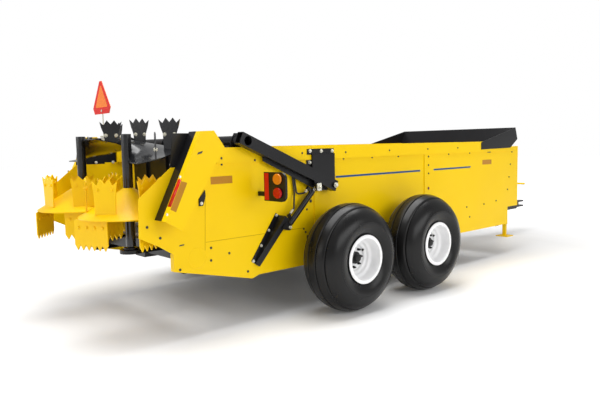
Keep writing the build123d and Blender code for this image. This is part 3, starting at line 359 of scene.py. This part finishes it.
for wheel, centre, side in wheels:
    dish = spun("rim_dish_" + wheel, rim_section, centre, side, 96)
    dish.data.materials.append(white_enamel)
    hub = spun("hub_" + wheel, hub_section, centre, side, 48)
    hub.data.materials.append(black_enamel)
    bpy.ops.object.select_all(action="DESELECT")
    face, top = centre[1] + side * dish_floor_out, centre[2] + nut_ring
    bpy.ops.mesh.primitive_cylinder_add(vertices=6, radius=nut_across / 2, depth=nut_height,
                                        location=(centre[0], face + side * nut_height / 2, top),
                                        rotation=(math.pi / 2, 0, 0))
    nuts = bpy.context.object
    nuts.name = "wheel_nuts_" + wheel
    bpy.ops.object.transform_apply(location=True, rotation=True, scale=True)
    bpy.ops.object.mode_set(mode="EDIT")
    bpy.ops.mesh.select_all(action="SELECT")
    bpy.ops.mesh.bevel(offset=0.0022, segments=2, affect="EDGES")
    bpy.ops.mesh.primitive_cylinder_add(vertices=12, radius=stud_radius, depth=stud_length,
                                        location=(centre[0], face + side * stud_length / 2, top),
                                        rotation=(math.pi / 2, 0, 0))
    bpy.ops.mesh.select_all(action="SELECT")
    bpy.ops.mesh.spin(steps=nut_count, angle=math.tau, center=centre, axis=(0, 1, 0), dupli=True)
    bpy.ops.mesh.select_all(action="SELECT")
    bpy.ops.mesh.remove_doubles(threshold=0.0001)
    bpy.ops.object.mode_set(mode="OBJECT")
    nuts.data.materials.append(black_enamel)
    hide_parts("rim_" + wheel)
    for piece, slot in ((dish, "white_paint"), (hub, "black_paint"), (nuts, "black_paint")):
        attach(piece, "wheel_" + wheel)

# ---- Bolts on the side sheets and top rails --------------------------------------------------
# The sheets are bolted to the posts, the cross members and the top rails with small hexagon
# bolts on washers. All are made black, so they read as dark dots on the yellow: some have a black
# oxide finish, and the rest are painted yellow, so on them the black is painted shade.


def bolt_heads(name, places, across, side, finish, body="spreader"):
    """Hexagon heads on washers, standing off a side of the machine. One is made and copied."""
    x, y, z = places[0]
    corner_radius, head_height, head_base = across * 0.577, across * 0.6, across * 0.05
    washer_radius, washer_height = across * 0.85, across * 0.12
    bpy.ops.object.select_all(action="DESELECT")
    bpy.ops.mesh.primitive_cylinder_add(vertices=6, radius=corner_radius, depth=head_height,
                                        location=(tandem + x, side * (y + head_base + head_height / 2), z),
                                        rotation=(math.pi / 2, 0, 0))
    piece = bpy.context.object
    bpy.ops.object.transform_apply(location=True, rotation=True, scale=True)
    bpy.ops.object.mode_set(mode="EDIT")
    bpy.ops.mesh.select_all(action="SELECT")
    bpy.ops.mesh.bevel(offset=across * 0.07, segments=1, affect="EDGES")
    bpy.ops.mesh.primitive_cylinder_add(vertices=14, radius=washer_radius, depth=washer_height,
                                        location=(tandem + x, side * (y + washer_height / 2), z),
                                        rotation=(math.pi / 2, 0, 0))
    bpy.ops.mesh.select_all(action="SELECT")
    for (x0, y0, z0), (x1, y1, z1) in zip(places, places[1:]):
        bpy.ops.mesh.duplicate_move(TRANSFORM_OT_translate={"value": (x1 - x0, side * (y1 - y0), z1 - z0)})
    bpy.ops.mesh.select_all(action="SELECT")
    bpy.ops.mesh.normals_make_consistent(inside=False)
    bpy.ops.object.mode_set(mode="OBJECT")
    piece.name = name
    piece.data.materials.append(finish)
    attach(piece, body)


# Black oxide on the bolts that have it, painted shade on the yellow-painted bolts and in the slot blanks,
# and the real black of the grommets and tyre valves.
black_and_painted_shade = enamel("bolt_black_oxide", (0.012, 0.011, 0.010), (0.030, 0.026, 0.020), 0.42, 0.0)
zinc = bpy.data.materials.new("zinc_plate")
zinc.use_nodes = True
n, l = zinc.node_tree.nodes, zinc.node_tree.links
skin = n["Principled BSDF"]
skin.inputs["Metallic"].default_value = 0.85
place = n.new("ShaderNodeTexCoord")
spangle = n.new("ShaderNodeTexVoronoi")
spangle.inputs["Scale"].default_value = 120.0
tone = n.new("ShaderNodeMix")
tone.data_type = "RGBA"
tone.inputs[6].default_value = (0.62, 0.60, 0.48, 1)
tone.inputs[7].default_value = (0.78, 0.77, 0.70, 1)
dull = n.new("ShaderNodeMapRange")
dull.inputs["To Min"].default_value = 0.30
dull.inputs["To Max"].default_value = 0.50
l.new(place.outputs["Object"], spangle.inputs["Vector"])
l.new(spangle.outputs["Distance"], tone.inputs[0])
l.new(spangle.outputs["Distance"], dull.inputs["Value"])
l.new(tone.outputs[2], skin.inputs["Base Color"])
l.new(dull.outputs["Result"], skin.inputs["Roughness"])

# Places run along the machine from the tandem's middle, and up. Faces are out from its centre line.
wall_face, rail_face, post_face = 0.920, 0.932, 0.928
rail_bolts = [(-1.744, 1.448), (-1.399, 1.421), (-0.847, 1.468), (-0.267, 1.462), (0.406, 1.465),
              (1.086, 1.466), (1.691, 1.467)]
rail_foot_bolts = [(-1.736, 1.397), (-0.287, 1.397), (0.140, 1.398), (0.568, 1.396), (1.519, 1.396),
                   (1.970, 1.398)]
post_bolts = [(1.105, 1.380), (1.105, 1.282), (1.105, 1.187), (1.105, 0.760), (1.105, 0.640)]
wall_bolts = [(3.010, 1.387), (2.973, 1.222), (2.940, 1.052), (2.904, 0.885), (2.610, 0.755),
              (2.311, 0.735), (1.912, 0.731), (1.978, 0.602), (-0.791, 0.941), (-0.814, 0.730),
              (-1.867, 0.720), (-1.688, 0.652), (-1.871, 0.617), (-1.498, 0.466), (-2.162, 0.584),
              (-2.430, 0.951), (-2.324, 0.856)]
sheet_bolts = [("rail_bolts_", rail_bolts, rail_face, 0.012),
               ("rail_foot_bolts_", rail_foot_bolts, wall_face, 0.012),
               ("post_bolts_", post_bolts, post_face, 0.013), ("wall_bolts_", wall_bolts, wall_face, 0.013)]
for side_name, side in (("right", -1), ("left", 1)):
    for kind, places, face, across in sheet_bolts:
        bolt_heads(kind + side_name, [(x, face, z) for x, z in places], across, side, black_and_painted_shade)

# ---- Stripes, reflectors and slots -----------------------------------------------------------
# Blue stripes are cut from thin film and stuck along each side. Amber and red reflectors are
# prismatic film on the sheets and on the slanted panel that stands off each side at the rear.


def cut_sheet(name, outline, low, high, facing, finish, body="spreader", bevel=0.0):
    """Cuts a flat sheet to an outline and stands it upright. Facing side, its outline is (along,
    up) and it lies between two distances out. Facing rear, its outline is (out, up)."""
    bpy.ops.object.select_all(action="DESELECT")
    curve = bpy.data.curves.new(name, "CURVE")
    curve.dimensions = "2D"
    curve.fill_mode = "BOTH"
    line = curve.splines.new("POLY")
    line.points.add(len(outline) - 1)
    for point, (u, v) in zip(line.points, outline):
        point.co = (u, v, 0, 1)
    line.use_cyclic_u = True
    curve.extrude = abs(high - low) / 2 - bevel
    curve.bevel_depth = bevel
    curve.offset = -bevel
    piece = bpy.data.objects.new(name, curve)
    bpy.context.collection.objects.link(piece)
    bpy.context.view_layer.objects.active = piece
    piece.select_set(True)
    bpy.ops.object.convert(target="MESH")
    piece = bpy.context.object
    middle = (low + high) / 2
    if facing == "side":
        piece.rotation_euler = (math.pi / 2, 0, 0)
        piece.location = (tandem, middle, 0)
    else:
        piece.rotation_euler = (math.pi / 2, 0, math.pi / 2)
        piece.location = (tandem + middle, 0, 0)
    bpy.ops.object.transform_apply(location=True, rotation=True, scale=True)
    bpy.ops.object.mode_set(mode="EDIT")
    bpy.ops.mesh.select_all(action="SELECT")
    bpy.ops.mesh.remove_doubles(threshold=0.00002)
    bpy.ops.mesh.normals_make_consistent(inside=False)
    bpy.ops.object.mode_set(mode="OBJECT")
    piece.name = name
    piece.data.materials.append(finish)
    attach(piece, body)


def film(name, colour, cell, gloss):
    """Plastic film with a fine prismatic or printed cell pattern under a clear face."""
    m = bpy.data.materials.new(name)
    m.use_nodes = True
    n, l = m.node_tree.nodes, m.node_tree.links
    skin = n["Principled BSDF"]
    place = n.new("ShaderNodeTexCoord")
    prism = n.new("ShaderNodeTexVoronoi")
    prism.inputs["Scale"].default_value = cell
    shade = n.new("ShaderNodeMix")
    shade.data_type = "RGBA"
    shade.inputs[6].default_value = (*colour, 1)
    shade.inputs[7].default_value = (*(c * 0.72 for c in colour), 1)
    l.new(place.outputs["Object"], prism.inputs["Vector"])
    l.new(prism.outputs["Distance"], shade.inputs[0])
    l.new(shade.outputs[2], skin.inputs["Base Color"])
    skin.inputs["Roughness"].default_value = gloss
    skin.inputs["Coat Weight"].default_value = 0.1
    skin.inputs["Specular IOR Level"].default_value = 0.25
    return m


blue_film = film("blue_stripe_film", (0.004, 0.075, 0.23), 900.0, 0.35)
amber_film = film("amber_reflector_film", (0.50, 0.215, 0.004), 260.0, 0.34)
red_film = film("red_reflector_film", (0.72, 0.006, 0.008), 260.0, 0.30)
film_thickness = 0.0008


def rectangle(u0, u1, v0, v1):
    """An outline from two distances along and two heights."""
    return [(u0, v0), (u1, v0), (u1, v1), (u0, v1)]


stripes = {"rear": rectangle(-0.402, 0.960, 1.215, 1.235),
           "front": [(1.205, 1.215), (1.985, 1.215), (2.000, 1.235), (1.205, 1.235)]}
plates = {"rear": rectangle(-1.849, -1.633, 1.238, 1.300), "front": rectangle(2.268, 2.487, 1.243, 1.302)}
for side_name, side in (("right", -1), ("left", 1)):
    inner, outer = side * wall_face, side * (wall_face + film_thickness)
    for end, outline in stripes.items():
        cut_sheet("stripe_" + end + "_" + side_name, outline, inner, outer, "side", blue_film)
    for end, outline in plates.items():
        cut_sheet("amber_plate_" + end + "_" + side_name, outline, inner, outer, "side", amber_film)

# The slanted panel: the lower and the upper end of its rear edge, and its outer face.
panel_low, panel_high, panel_out = (-2.366, 0.999), (-2.035, 1.665), 1.085


def on_panel_edge(up, ahead):
    """A point ahead of the slanted panel's rear edge, at a height."""
    share = (up - panel_low[1]) / (panel_high[1] - panel_low[1])
    return (panel_low[0] + (panel_high[0] - panel_low[0]) * share + ahead, up)


amber_face = [on_panel_edge(1.086, 0.002), on_panel_edge(1.062, 0.060), on_panel_edge(1.276, 0.060),
              on_panel_edge(1.292, 0.002)]
red_edge = [on_panel_edge(1.105, -film_thickness), on_panel_edge(1.105, 0.0), on_panel_edge(1.305, 0.0),
            on_panel_edge(1.305, -film_thickness)]
red_outer, red_inner = panel_out - 0.002, panel_out - 0.054
# A slot cut in a sheet is a thin dark blank on it: painted shade for the dark inside seen through the slot.
blank_thickness = 0.0012
panel_slot = [(-2.072, 1.485), (-2.064, 1.502), (-2.020, 1.514), (-2.028, 1.497)]
bay_slot = [(-2.162, 0.770), (-2.158, 0.781), (-2.116, 0.784), (-2.120, 0.773)]
rail_slot = rectangle(2.387, 2.467, 1.392, 1.404)
slots = {"panel_slot_": (panel_slot, panel_out), "rail_slot_": (rail_slot, wall_face),
         "bay_slot_": (bay_slot, wall_face)}
for side_name, side in (("right", -1), ("left", 1)):
    cut_sheet("amber_reflector_" + side_name, amber_face, side * panel_out,
              side * (panel_out + film_thickness), "side", amber_film)
    cut_sheet("red_reflector_" + side_name, red_edge, side * red_outer, side * red_inner, "side", red_film)
    for kind, (outline, face) in slots.items():
        cut_sheet(kind + side_name, outline, side * face, side * (face + blank_thickness), "side",
                  black_and_painted_shade)

# ---- Plated bolts and pins of the lift arms and their brackets -------------------------------
# Three zinc-plated bolts hold each pivot bracket to its rail, one more holds it to the side sheet,
# and four hold the cylinder bracket by its flange. Pins have turned collars and split pins.


def pin_end(name, place, radius, side, body):
    """A turned collar with a domed pin end in it, and a split pin through the end."""
    x, y, z = place
    collar, stub, dome, split_pin_out = 0.006, 0.014, 0.003, 0.013
    bpy.ops.object.select_all(action="DESELECT")
    bpy.ops.mesh.primitive_cylinder_add(vertices=28, radius=radius * 1.5, depth=collar,
                                        location=(tandem + x, side * (y + collar / 2), z),
                                        rotation=(side * -math.pi / 2, 0, 0))
    piece = bpy.context.object
    bpy.ops.object.transform_apply(location=True, rotation=True, scale=True)
    bpy.ops.object.mode_set(mode="EDIT")
    bpy.context.tool_settings.mesh_select_mode = (False, False, True)
    bpy.ops.mesh.select_all(action="DESELECT")
    bpy.ops.object.mode_set(mode="OBJECT")
    outer = max(piece.data.polygons, key=lambda f: (len(f.vertices), side * f.center.y))
    outer.select = True
    bpy.ops.object.mode_set(mode="EDIT")
    bpy.ops.mesh.inset(thickness=radius * 0.5)
    bpy.ops.mesh.extrude_region_move(TRANSFORM_OT_translate={"value": (0, side * stub, 0)})
    bpy.ops.mesh.inset(thickness=radius * 0.2)
    bpy.ops.transform.translate(value=(0, side * dome, 0))
    bpy.ops.mesh.primitive_cylinder_add(vertices=10, radius=0.0025, depth=radius * 3.2,
                                        location=(tandem + x, side * (y + split_pin_out), z),
                                        rotation=(0, math.radians(35), 0))
    bpy.ops.mesh.select_all(action="SELECT")
    bpy.ops.mesh.normals_make_consistent(inside=False)
    bpy.ops.object.mode_set(mode="OBJECT")
    bpy.ops.object.shade_smooth_by_angle(angle=math.radians(35))
    piece.name = name
    piece.data.materials.append(zinc)
    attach(piece, body)


pivot_bolts = [(-0.754, 0.938, 1.485), (-0.609, 0.938, 1.482), (-0.463, 0.938, 1.481),
               (-0.748, 0.926, 1.379)]
flange_bolts = [(-1.168, 0.926, 0.922), (-1.258, 0.926, 0.797), (-1.349, 0.926, 0.672),
                (-1.440, 0.926, 0.547)]
strip_bolts = [(-2.228, panel_out, 1.325), (-2.350, panel_out, 1.052)]
bay_top_bolts = [(-2.192, -0.903, 1.410), (-2.012, -0.903, 1.407), (-1.830, -0.903, 1.406)]
for side_name, side in (("right", -1), ("left", 1)):
    bolt_heads("pivot_bolts_" + side_name, pivot_bolts, 0.021, side, zinc)
    bolt_heads("cylinder_bracket_bolts_" + side_name, flange_bolts, 0.017, side, zinc)
    bolt_heads("panel_strip_bolts_" + side_name, strip_bolts, 0.012, side, zinc)
    # These point inwards, from the inner face of the beater bay.
    bolt_heads("bay_top_bolts_" + side_name, bay_top_bolts, 0.018, -side, zinc)

pins = {"pivot_pin_end": ((-0.530, 1.045, 1.159), 0.016, "spreader"),
        "head_pin_end": ((-0.745, 1.048, 1.153), 0.010, "endgate"),
        "foot_pin_end": ((-1.098, 1.025, 0.815), 0.009, "spreader")}
block = [(-0.7655, 1.118), (-0.7215, 1.118), (-0.7165, 1.123), (-0.7165, 1.184), (-0.7215, 1.189),
         (-0.7655, 1.189), (-0.7705, 1.184), (-0.7705, 1.123)]
block_inner, block_outer = 1.0325, 1.048
for side_name, side in (("right", -1), ("left", 1)):
    for kind, (place, radius, body) in pins.items():
        pin_end(kind + "_" + side_name, place, radius, side, body)
    cut_sheet("head_pin_block_" + side_name, block, side * block_inner, side * block_outer, "side", zinc,
              body="endgate", bevel=0.002)

# ---- Plugs, grommets, press marks and folds of the side sheets -------------------------------
# A red plastic plug closes the hole in the post, and black grommets close two in the sheet. A
# pressed ring marks the rear shaft's bearing, shaded strips are the fold at the floor and the bay
# sheet's lap, and a black plate bolted on beside them stays the slanted panel.
red_plug = enamel("red_plastic_plug", (0.16, 0.012, 0.008), (0.11, 0.008, 0.006), 0.40, 0.0)
seam_shade = enamel("seam_shade", (0.56, 0.34, 0.0), (0.46, 0.27, 0.0), 0.50, 0.0, specular=0.1)
plugs = {"post_plug": (1.105, post_face, 1.017, 0.017, red_plug),
         "upper_grommet": (-0.741, wall_face, 1.016, 0.015, black_and_painted_shade),
         "lower_grommet": (-0.836, wall_face, 0.763, 0.009, black_and_painted_shade)}
ring_section = [(0, 0.078), (0.0016, 0.0795), (0.0016, 0.0825), (0, 0.084)]
seam = [(-1.9275, 0.708), (-1.9225, 0.708), (-1.9025, 1.180), (-1.9075, 1.180)]
stay = [(-1.911, 1.198), (-1.971, 1.129), (-1.970, 1.072), (-1.935, 1.072), (-1.908, 1.150)]
fold_height, stay_thickness = 0.0006, 0.012
rear_shaft_x, rear_shaft_z = tandem - 2.0, 0.656
for side_name, side in (("right", -1), ("left", 1)):
    for kind, (x, y, z, radius, finish) in plugs.items():
        section = [(0, 0.0002), (0, radius), (0.0022, radius), (0.0036, radius * 0.8), (0.0036, 0.0002)]
        plug = spun(kind + "_" + side_name, section, (tandem + x, side * y, z), side, 24)
        plug.data.materials.append(finish)
        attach(plug, "spreader")
    ring = spun("bearing_ring_" + side_name, ring_section, (rear_shaft_x, side * wall_face, rear_shaft_z),
                side, 64)
    ring.data.materials.append(wall_yellow)
    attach(ring, "spreader")
    face, folded = side * wall_face, side * (wall_face + fold_height)
    cut_sheet("bay_seam_" + side_name, seam, face, folded, "side", seam_shade)
    cut_sheet("floor_fold_" + side_name, rectangle(-1.915, -0.830, 0.7700, 0.7745), face, folded, "side",
              seam_shade)
    cut_sheet("panel_stay_" + side_name, stay, face, side * (wall_face + stay_thickness), "side",
              black_enamel, bevel=0.002)
    bolt_heads("panel_stay_bolt_" + side_name, [(-1.950, wall_face + stay_thickness, 1.093)], 0.016, side,
               zinc)

# ---- Tyre valves -----------------------------------------------------------------------------
# One black rubber valve with a hexagon cap is pushed through each dish beside the nuts, and
# points straight out.
valve_ahead, valve_out, valve_up = 0.112, 0.052, 0.058
for wheel, centre, side in wheels:
    place = (centre[0] - tandem + valve_ahead, abs(centre[1]) + valve_out, centre[2] + valve_up)
    bolt_heads("tyre_valve_" + wheel, [place], 0.017, side, black_and_painted_shade, body="wheel_" + wheel)

# ---- Beaters ---------------------------------------------------------------------------------
# Each is welded up from a tube, a black flight with three claws on it, and a yellow cone with six
# claws and four toothed paddles. Claws have two bolts and paddles four, with a nut behind each.
beater_yellow = enamel("beater_yellow_enamel", (0.90, 0.57, 0.0), (0.84, 0.50, 0.0), 0.36, 0.10,
                       wave=0.006, specular=0.2)
flight_black = enamel("flight_black_enamel", (0.006, 0.006, 0.007), (0.012, 0.013, 0.015), 0.20, 0.35,
                      wave=0.010, specular=0.35)
bolt_cream = enamel("plated_bolt", (0.62, 0.60, 0.50), (0.50, 0.48, 0.38), 0.34, 0.0)
for name in both_sides("beater_thrower"):
    dress(name, beater_yellow)
for name in both_sides("beater_auger"):
    dress(name, flight_black)
beater_centre = {j["child"]: j["pos_m"] for j in frame["joints"] if j["child"].startswith("beater")}
left_beater_lag = -20
# Sides, radius and length of the bolt with its nut, and of the washers under both.
bolt_and_washers = ((6, 0.0115, 0.028), (14, 0.0165, 0.015))


def blade_bolts(name, blades, hand, body, finish):
    """Each blade: its turn round the beater and radius, its swing, and its bolts' (along, up)."""
    centre = beater_centre[body]
    lag = 0 if hand > 0 else math.radians(left_beater_lag)
    bpy.ops.object.select_all(action="DESELECT")
    started = False
    for turn, radius, swing, bolts in blades:
        spoke = hand * math.radians(turn) + lag
        along = spoke + hand * math.radians(swing)
        for u, z in bolts:
            spot = (centre[0] + radius * math.cos(spoke) + u * math.cos(along),
                    centre[1] + radius * math.sin(spoke) + u * math.sin(along), z)
            for sides, size, depth in bolt_and_washers:
                bpy.ops.mesh.primitive_cylinder_add(vertices=sides, radius=size, depth=depth, location=spot,
                                                    rotation=(math.pi / 2, 0, along))
                if not started:
                    started = True
                    piece = bpy.context.object
                    bpy.ops.object.transform_apply(location=True, rotation=True, scale=True)
                    bpy.ops.object.mode_set(mode="EDIT")
    bpy.ops.mesh.select_all(action="SELECT")
    bpy.ops.mesh.bevel(offset=0.001, segments=1, affect="EDGES")
    bpy.ops.mesh.normals_make_consistent(inside=False)
    bpy.ops.object.mode_set(mode="OBJECT")
    piece.name = name
    piece.data.materials.append(finish)
    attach(piece, body)


flight_claws = [(turn, 0.356, -38, [(-0.044, up), (0.044, up)])
                for turn, up in ((45, 1.662), (-17, 1.654), (-79, 1.530))]
cone_claws = [(32 + 60 * i, 0.330, 94, [(-0.060, 1.232), (0.060, 1.232)]) for i in range(6)]
paddles = [(4 + 90 * i, 0.340, 110, [(u, 0.935) for u in (-0.12, -0.04, 0.04, 0.12)]) for i in range(4)]
# The flight's claws have plated bolts. The cone's bolts were sprayed yellow with it.
for side_name, hand in (("right", 1), ("left", -1)):
    body = "beater_" + side_name
    blade_bolts("claw_bolts_" + side_name, flight_claws, hand, body, bolt_cream)
    blade_bolts("thrower_bolts_" + side_name, cone_claws + paddles, hand, body, beater_yellow)

# ---- Tail lamps ------------------------------------------------------------------------------
# Oval amber and red lenses, moulded in coloured plastic with fine flutes, are set in each black
# housing, with a red reflector strip on the plate beside them.
amber_lens = film("amber_lens", (0.80, 0.24, 0.010), 420.0, 0.12)
red_lens = film("red_lens", (0.55, 0.006, 0.006), 420.0, 0.12)
lens_out, lens_half_width, lens_half_height = 1.203, 0.053, 0.046
lens_rear, lens_front = -1.392, -1.3722
strip_rear, strip_front = -1.3730, -1.3720
lens_turns = [math.radians(a) for a in range(0, 360, 15)]
strip = rectangle(1.022, 1.078, 1.084, 1.312)
for side_name, side in (("right", -1), ("left", 1)):
    for kind, finish, up in (("amber", amber_lens, 1.264), ("red", red_lens, 1.148)):
        outline = [(side * (lens_out + lens_half_width * math.cos(turn)),
                    up + lens_half_height * math.sin(turn)) for turn in lens_turns]
        cut_sheet(kind + "_lens_" + side_name, outline, lens_rear, lens_front, "rear", finish,
                  bevel=0.009)
    cut_sheet("lamp_reflector_" + side_name, [(side * u, v) for u, v in strip], strip_rear, strip_front,
              "rear", red_film)

# ---- Emblem ----------------------------------------------------------------------------------
# The slow-vehicle triangle is orange reflective sheet with a red border, on its own steel plate.
# One rivet holds it to a thin plated rod, which is clamped to the left upper plate.
orange_film = film("orange_emblem_film", (1.0, 0.17, 0.010), 150.0, 0.38)
emblem_red = film("emblem_red_border", (0.80, 0.020, 0.012), 150.0, 0.35)
glow_orange = film("emblem_orange_centre", (1.0, 0.25, 0.035), 150.0, 0.45)
dress("warning_triangle", orange_film)
middle, foot = 0.895, 1.898
plate_face, emblem_film = -1.9270, 0.0005
border = [(middle - 0.168, foot + 0.002), (middle + 0.168, foot + 0.002), (middle + 0.202, foot + 0.062),
          (middle + 0.025, foot + 0.328), (middle - 0.025, foot + 0.328), (middle - 0.202, foot + 0.062)]
centre_sheet = [(middle - 0.124, foot + 0.066), (middle + 0.124, foot + 0.066),
                (middle + 0.137, foot + 0.078), (middle + 0.009, foot + 0.284),
                (middle - 0.009, foot + 0.284), (middle - 0.137, foot + 0.078)]
cut_sheet("emblem_border", border, plate_face - emblem_film, plate_face, "rear", emblem_red)
cut_sheet("emblem_centre", centre_sheet, plate_face - 2 * emblem_film, plate_face - emblem_film, "rear",
          glow_orange)
rod_x, rod_middle_up, rod_length, rod_radius = tandem - 1.918, 1.779, 0.236, 0.0062
cap_up, cap_size = 1.668, (0.060, 0.044, 0.018)
clamp_up, clamp_out, clamp_size = 1.6215, middle + 0.0013, (0.043, 0.0365, 0.0655)
rivet_x, rivet_up, rivet_radius, rivet_height = rod_x - 0.0125, 1.930, 0.013, 0.006
bpy.ops.object.select_all(action="DESELECT")
bpy.ops.mesh.primitive_cylinder_add(vertices=20, radius=rod_radius, depth=rod_length,
                                    location=(rod_x, middle, rod_middle_up))
rod = bpy.context.object
bpy.ops.object.transform_apply(location=True, rotation=True, scale=True)
bpy.ops.object.mode_set(mode="EDIT")
bpy.ops.mesh.select_all(action="SELECT")
bpy.ops.mesh.bevel(offset=0.001, segments=1, affect="EDGES")
# The clamp's cap at the rod's foot, then the clamp under it, then the rivet through the sheet.
bpy.ops.mesh.primitive_cube_add(size=1, location=(rod_x, middle, cap_up), scale=cap_size)
bpy.ops.mesh.bevel(offset=0.004, segments=2, affect="EDGES")
bpy.ops.mesh.primitive_cube_add(size=1, location=(rod_x, clamp_out, clamp_up), scale=clamp_size)
bpy.ops.mesh.bevel(offset=0.001, segments=1, affect="EDGES")
bpy.ops.mesh.primitive_cylinder_add(vertices=14, radius=rivet_radius, depth=rivet_height,
                                    location=(rivet_x, middle, rivet_up), rotation=(0, math.pi / 2, 0))
bpy.ops.mesh.bevel(offset=0.002, segments=2, affect="EDGES")
bpy.ops.mesh.select_all(action="SELECT")
bpy.ops.mesh.normals_make_consistent(inside=False)
bpy.ops.object.mode_set(mode="OBJECT")
bpy.ops.object.shade_smooth_by_angle(angle=math.radians(35))
rod.name = "emblem_rod"
rod.data.materials.append(bolt_cream)
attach(rod, "spreader")

# ---- Cylinder rods and hose sleeves ----------------------------------------------------------
# The rods are ground and hard-chromed. A spiral sleeve of pale plastic guards each hose where it
# leaves its port on the barrel, and is wound in turns, so it reads as a row of rings.
rod_chrome = bpy.data.materials.new("rod_chrome")
rod_chrome.use_nodes = True
n, l = rod_chrome.node_tree.nodes, rod_chrome.node_tree.links
skin = n["Principled BSDF"]
skin.inputs["Metallic"].default_value = 1.0
skin.inputs["Base Color"].default_value = (0.70, 0.70, 0.72, 1)
place = n.new("ShaderNodeTexCoord")
grind = n.new("ShaderNodeTexNoise")
grind.inputs["Scale"].default_value = 60.0
dull = n.new("ShaderNodeMapRange")
dull.inputs["To Min"].default_value = 0.08
dull.inputs["To Max"].default_value = 0.20
l.new(place.outputs["Object"], grind.inputs["Vector"])
l.new(grind.outputs["Fac"], dull.inputs["Value"])
l.new(dull.outputs["Result"], skin.inputs["Roughness"])
for name in both_sides("cylinder_rod"):
    dress(name, rod_chrome)

sleeve_plastic = enamel("sleeve_plastic", (0.62, 0.58, 0.46), (0.50, 0.46, 0.36), 0.45, 0.0)
cylinder_out, sleeve_radius, sleeve_turns = 0.994, 0.0095, 4
coil_radius, strand_radius = 0.0098, 0.0024
sleeves = {"low": ((-1.0629, 0.9345), (-1.0304, 0.9656)), "high": ((-0.8558, 1.1328), (-0.8781, 1.1114))}
for side_name, side in (("right", -1), ("left", 1)):
    for kind, (start, stop) in sleeves.items():
        length = math.dist(start, stop)
        lean = math.atan2(stop[0] - start[0], stop[1] - start[1])
        out = side * cylinder_out
        bpy.ops.object.select_all(action="DESELECT")
        bpy.ops.mesh.primitive_cylinder_add(vertices=20, radius=sleeve_radius, depth=length,
                                            rotation=(0, lean, 0),
                                            location=(tandem + (start[0] + stop[0]) / 2, out,
                                                      (start[1] + stop[1]) / 2))
        sleeve = bpy.context.object
        bpy.ops.object.transform_apply(location=True, rotation=True, scale=True)
        bpy.ops.object.mode_set(mode="EDIT")
        for turn in range(sleeve_turns):
            share = (turn + 0.5) / sleeve_turns
            bpy.ops.mesh.primitive_torus_add(major_segments=20, minor_segments=8, major_radius=coil_radius,
                                             minor_radius=strand_radius, rotation=(0, lean, 0),
                                             location=(tandem + start[0] + (stop[0] - start[0]) * share,
                                                       out, start[1] + (stop[1] - start[1]) * share))
        bpy.ops.mesh.select_all(action="SELECT")
        bpy.ops.mesh.normals_make_consistent(inside=False)
        bpy.ops.object.mode_set(mode="OBJECT")
        bpy.ops.object.shade_smooth_by_angle(angle=math.radians(40))
        sleeve.name = "hose_sleeve_" + kind + "_" + side_name
        sleeve.data.materials.append(sleeve_plastic)
        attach(sleeve, "barrel_" + side_name)

# ---- Apron, floor, hoses, drive shaft and parking jack ---------------------------------------
# The apron's chains and shafts are worn steel, and its slats are black. The floor is polymer board
# on steel, the hoses are rubber, the shaft's guard is black plastic, and the jack is yellow.
worn_steel = enamel("worn_steel", (0.34, 0.33, 0.31), (0.20, 0.18, 0.16), 0.38, 0.0)
board = enamel("floor_board", (0.16, 0.15, 0.13), (0.11, 0.10, 0.09), 0.55, 0.0)
rubber = enamel("hose_rubber", (0.008, 0.008, 0.008), (0.014, 0.014, 0.014), 0.50, 0.0)
guard = enamel("guard_plastic", (0.010, 0.010, 0.010), (0.018, 0.018, 0.018), 0.55, 0.0)
finishes = {"apron_chains": worn_steel, "apron_shafts": worn_steel, "floor": board, "drive_shaft": guard,
            "cylinder_hoses_right": rubber, "cylinder_hoses_left": rubber, "jack": wall_yellow}
for name, finish in finishes.items():
    dress(name, finish)
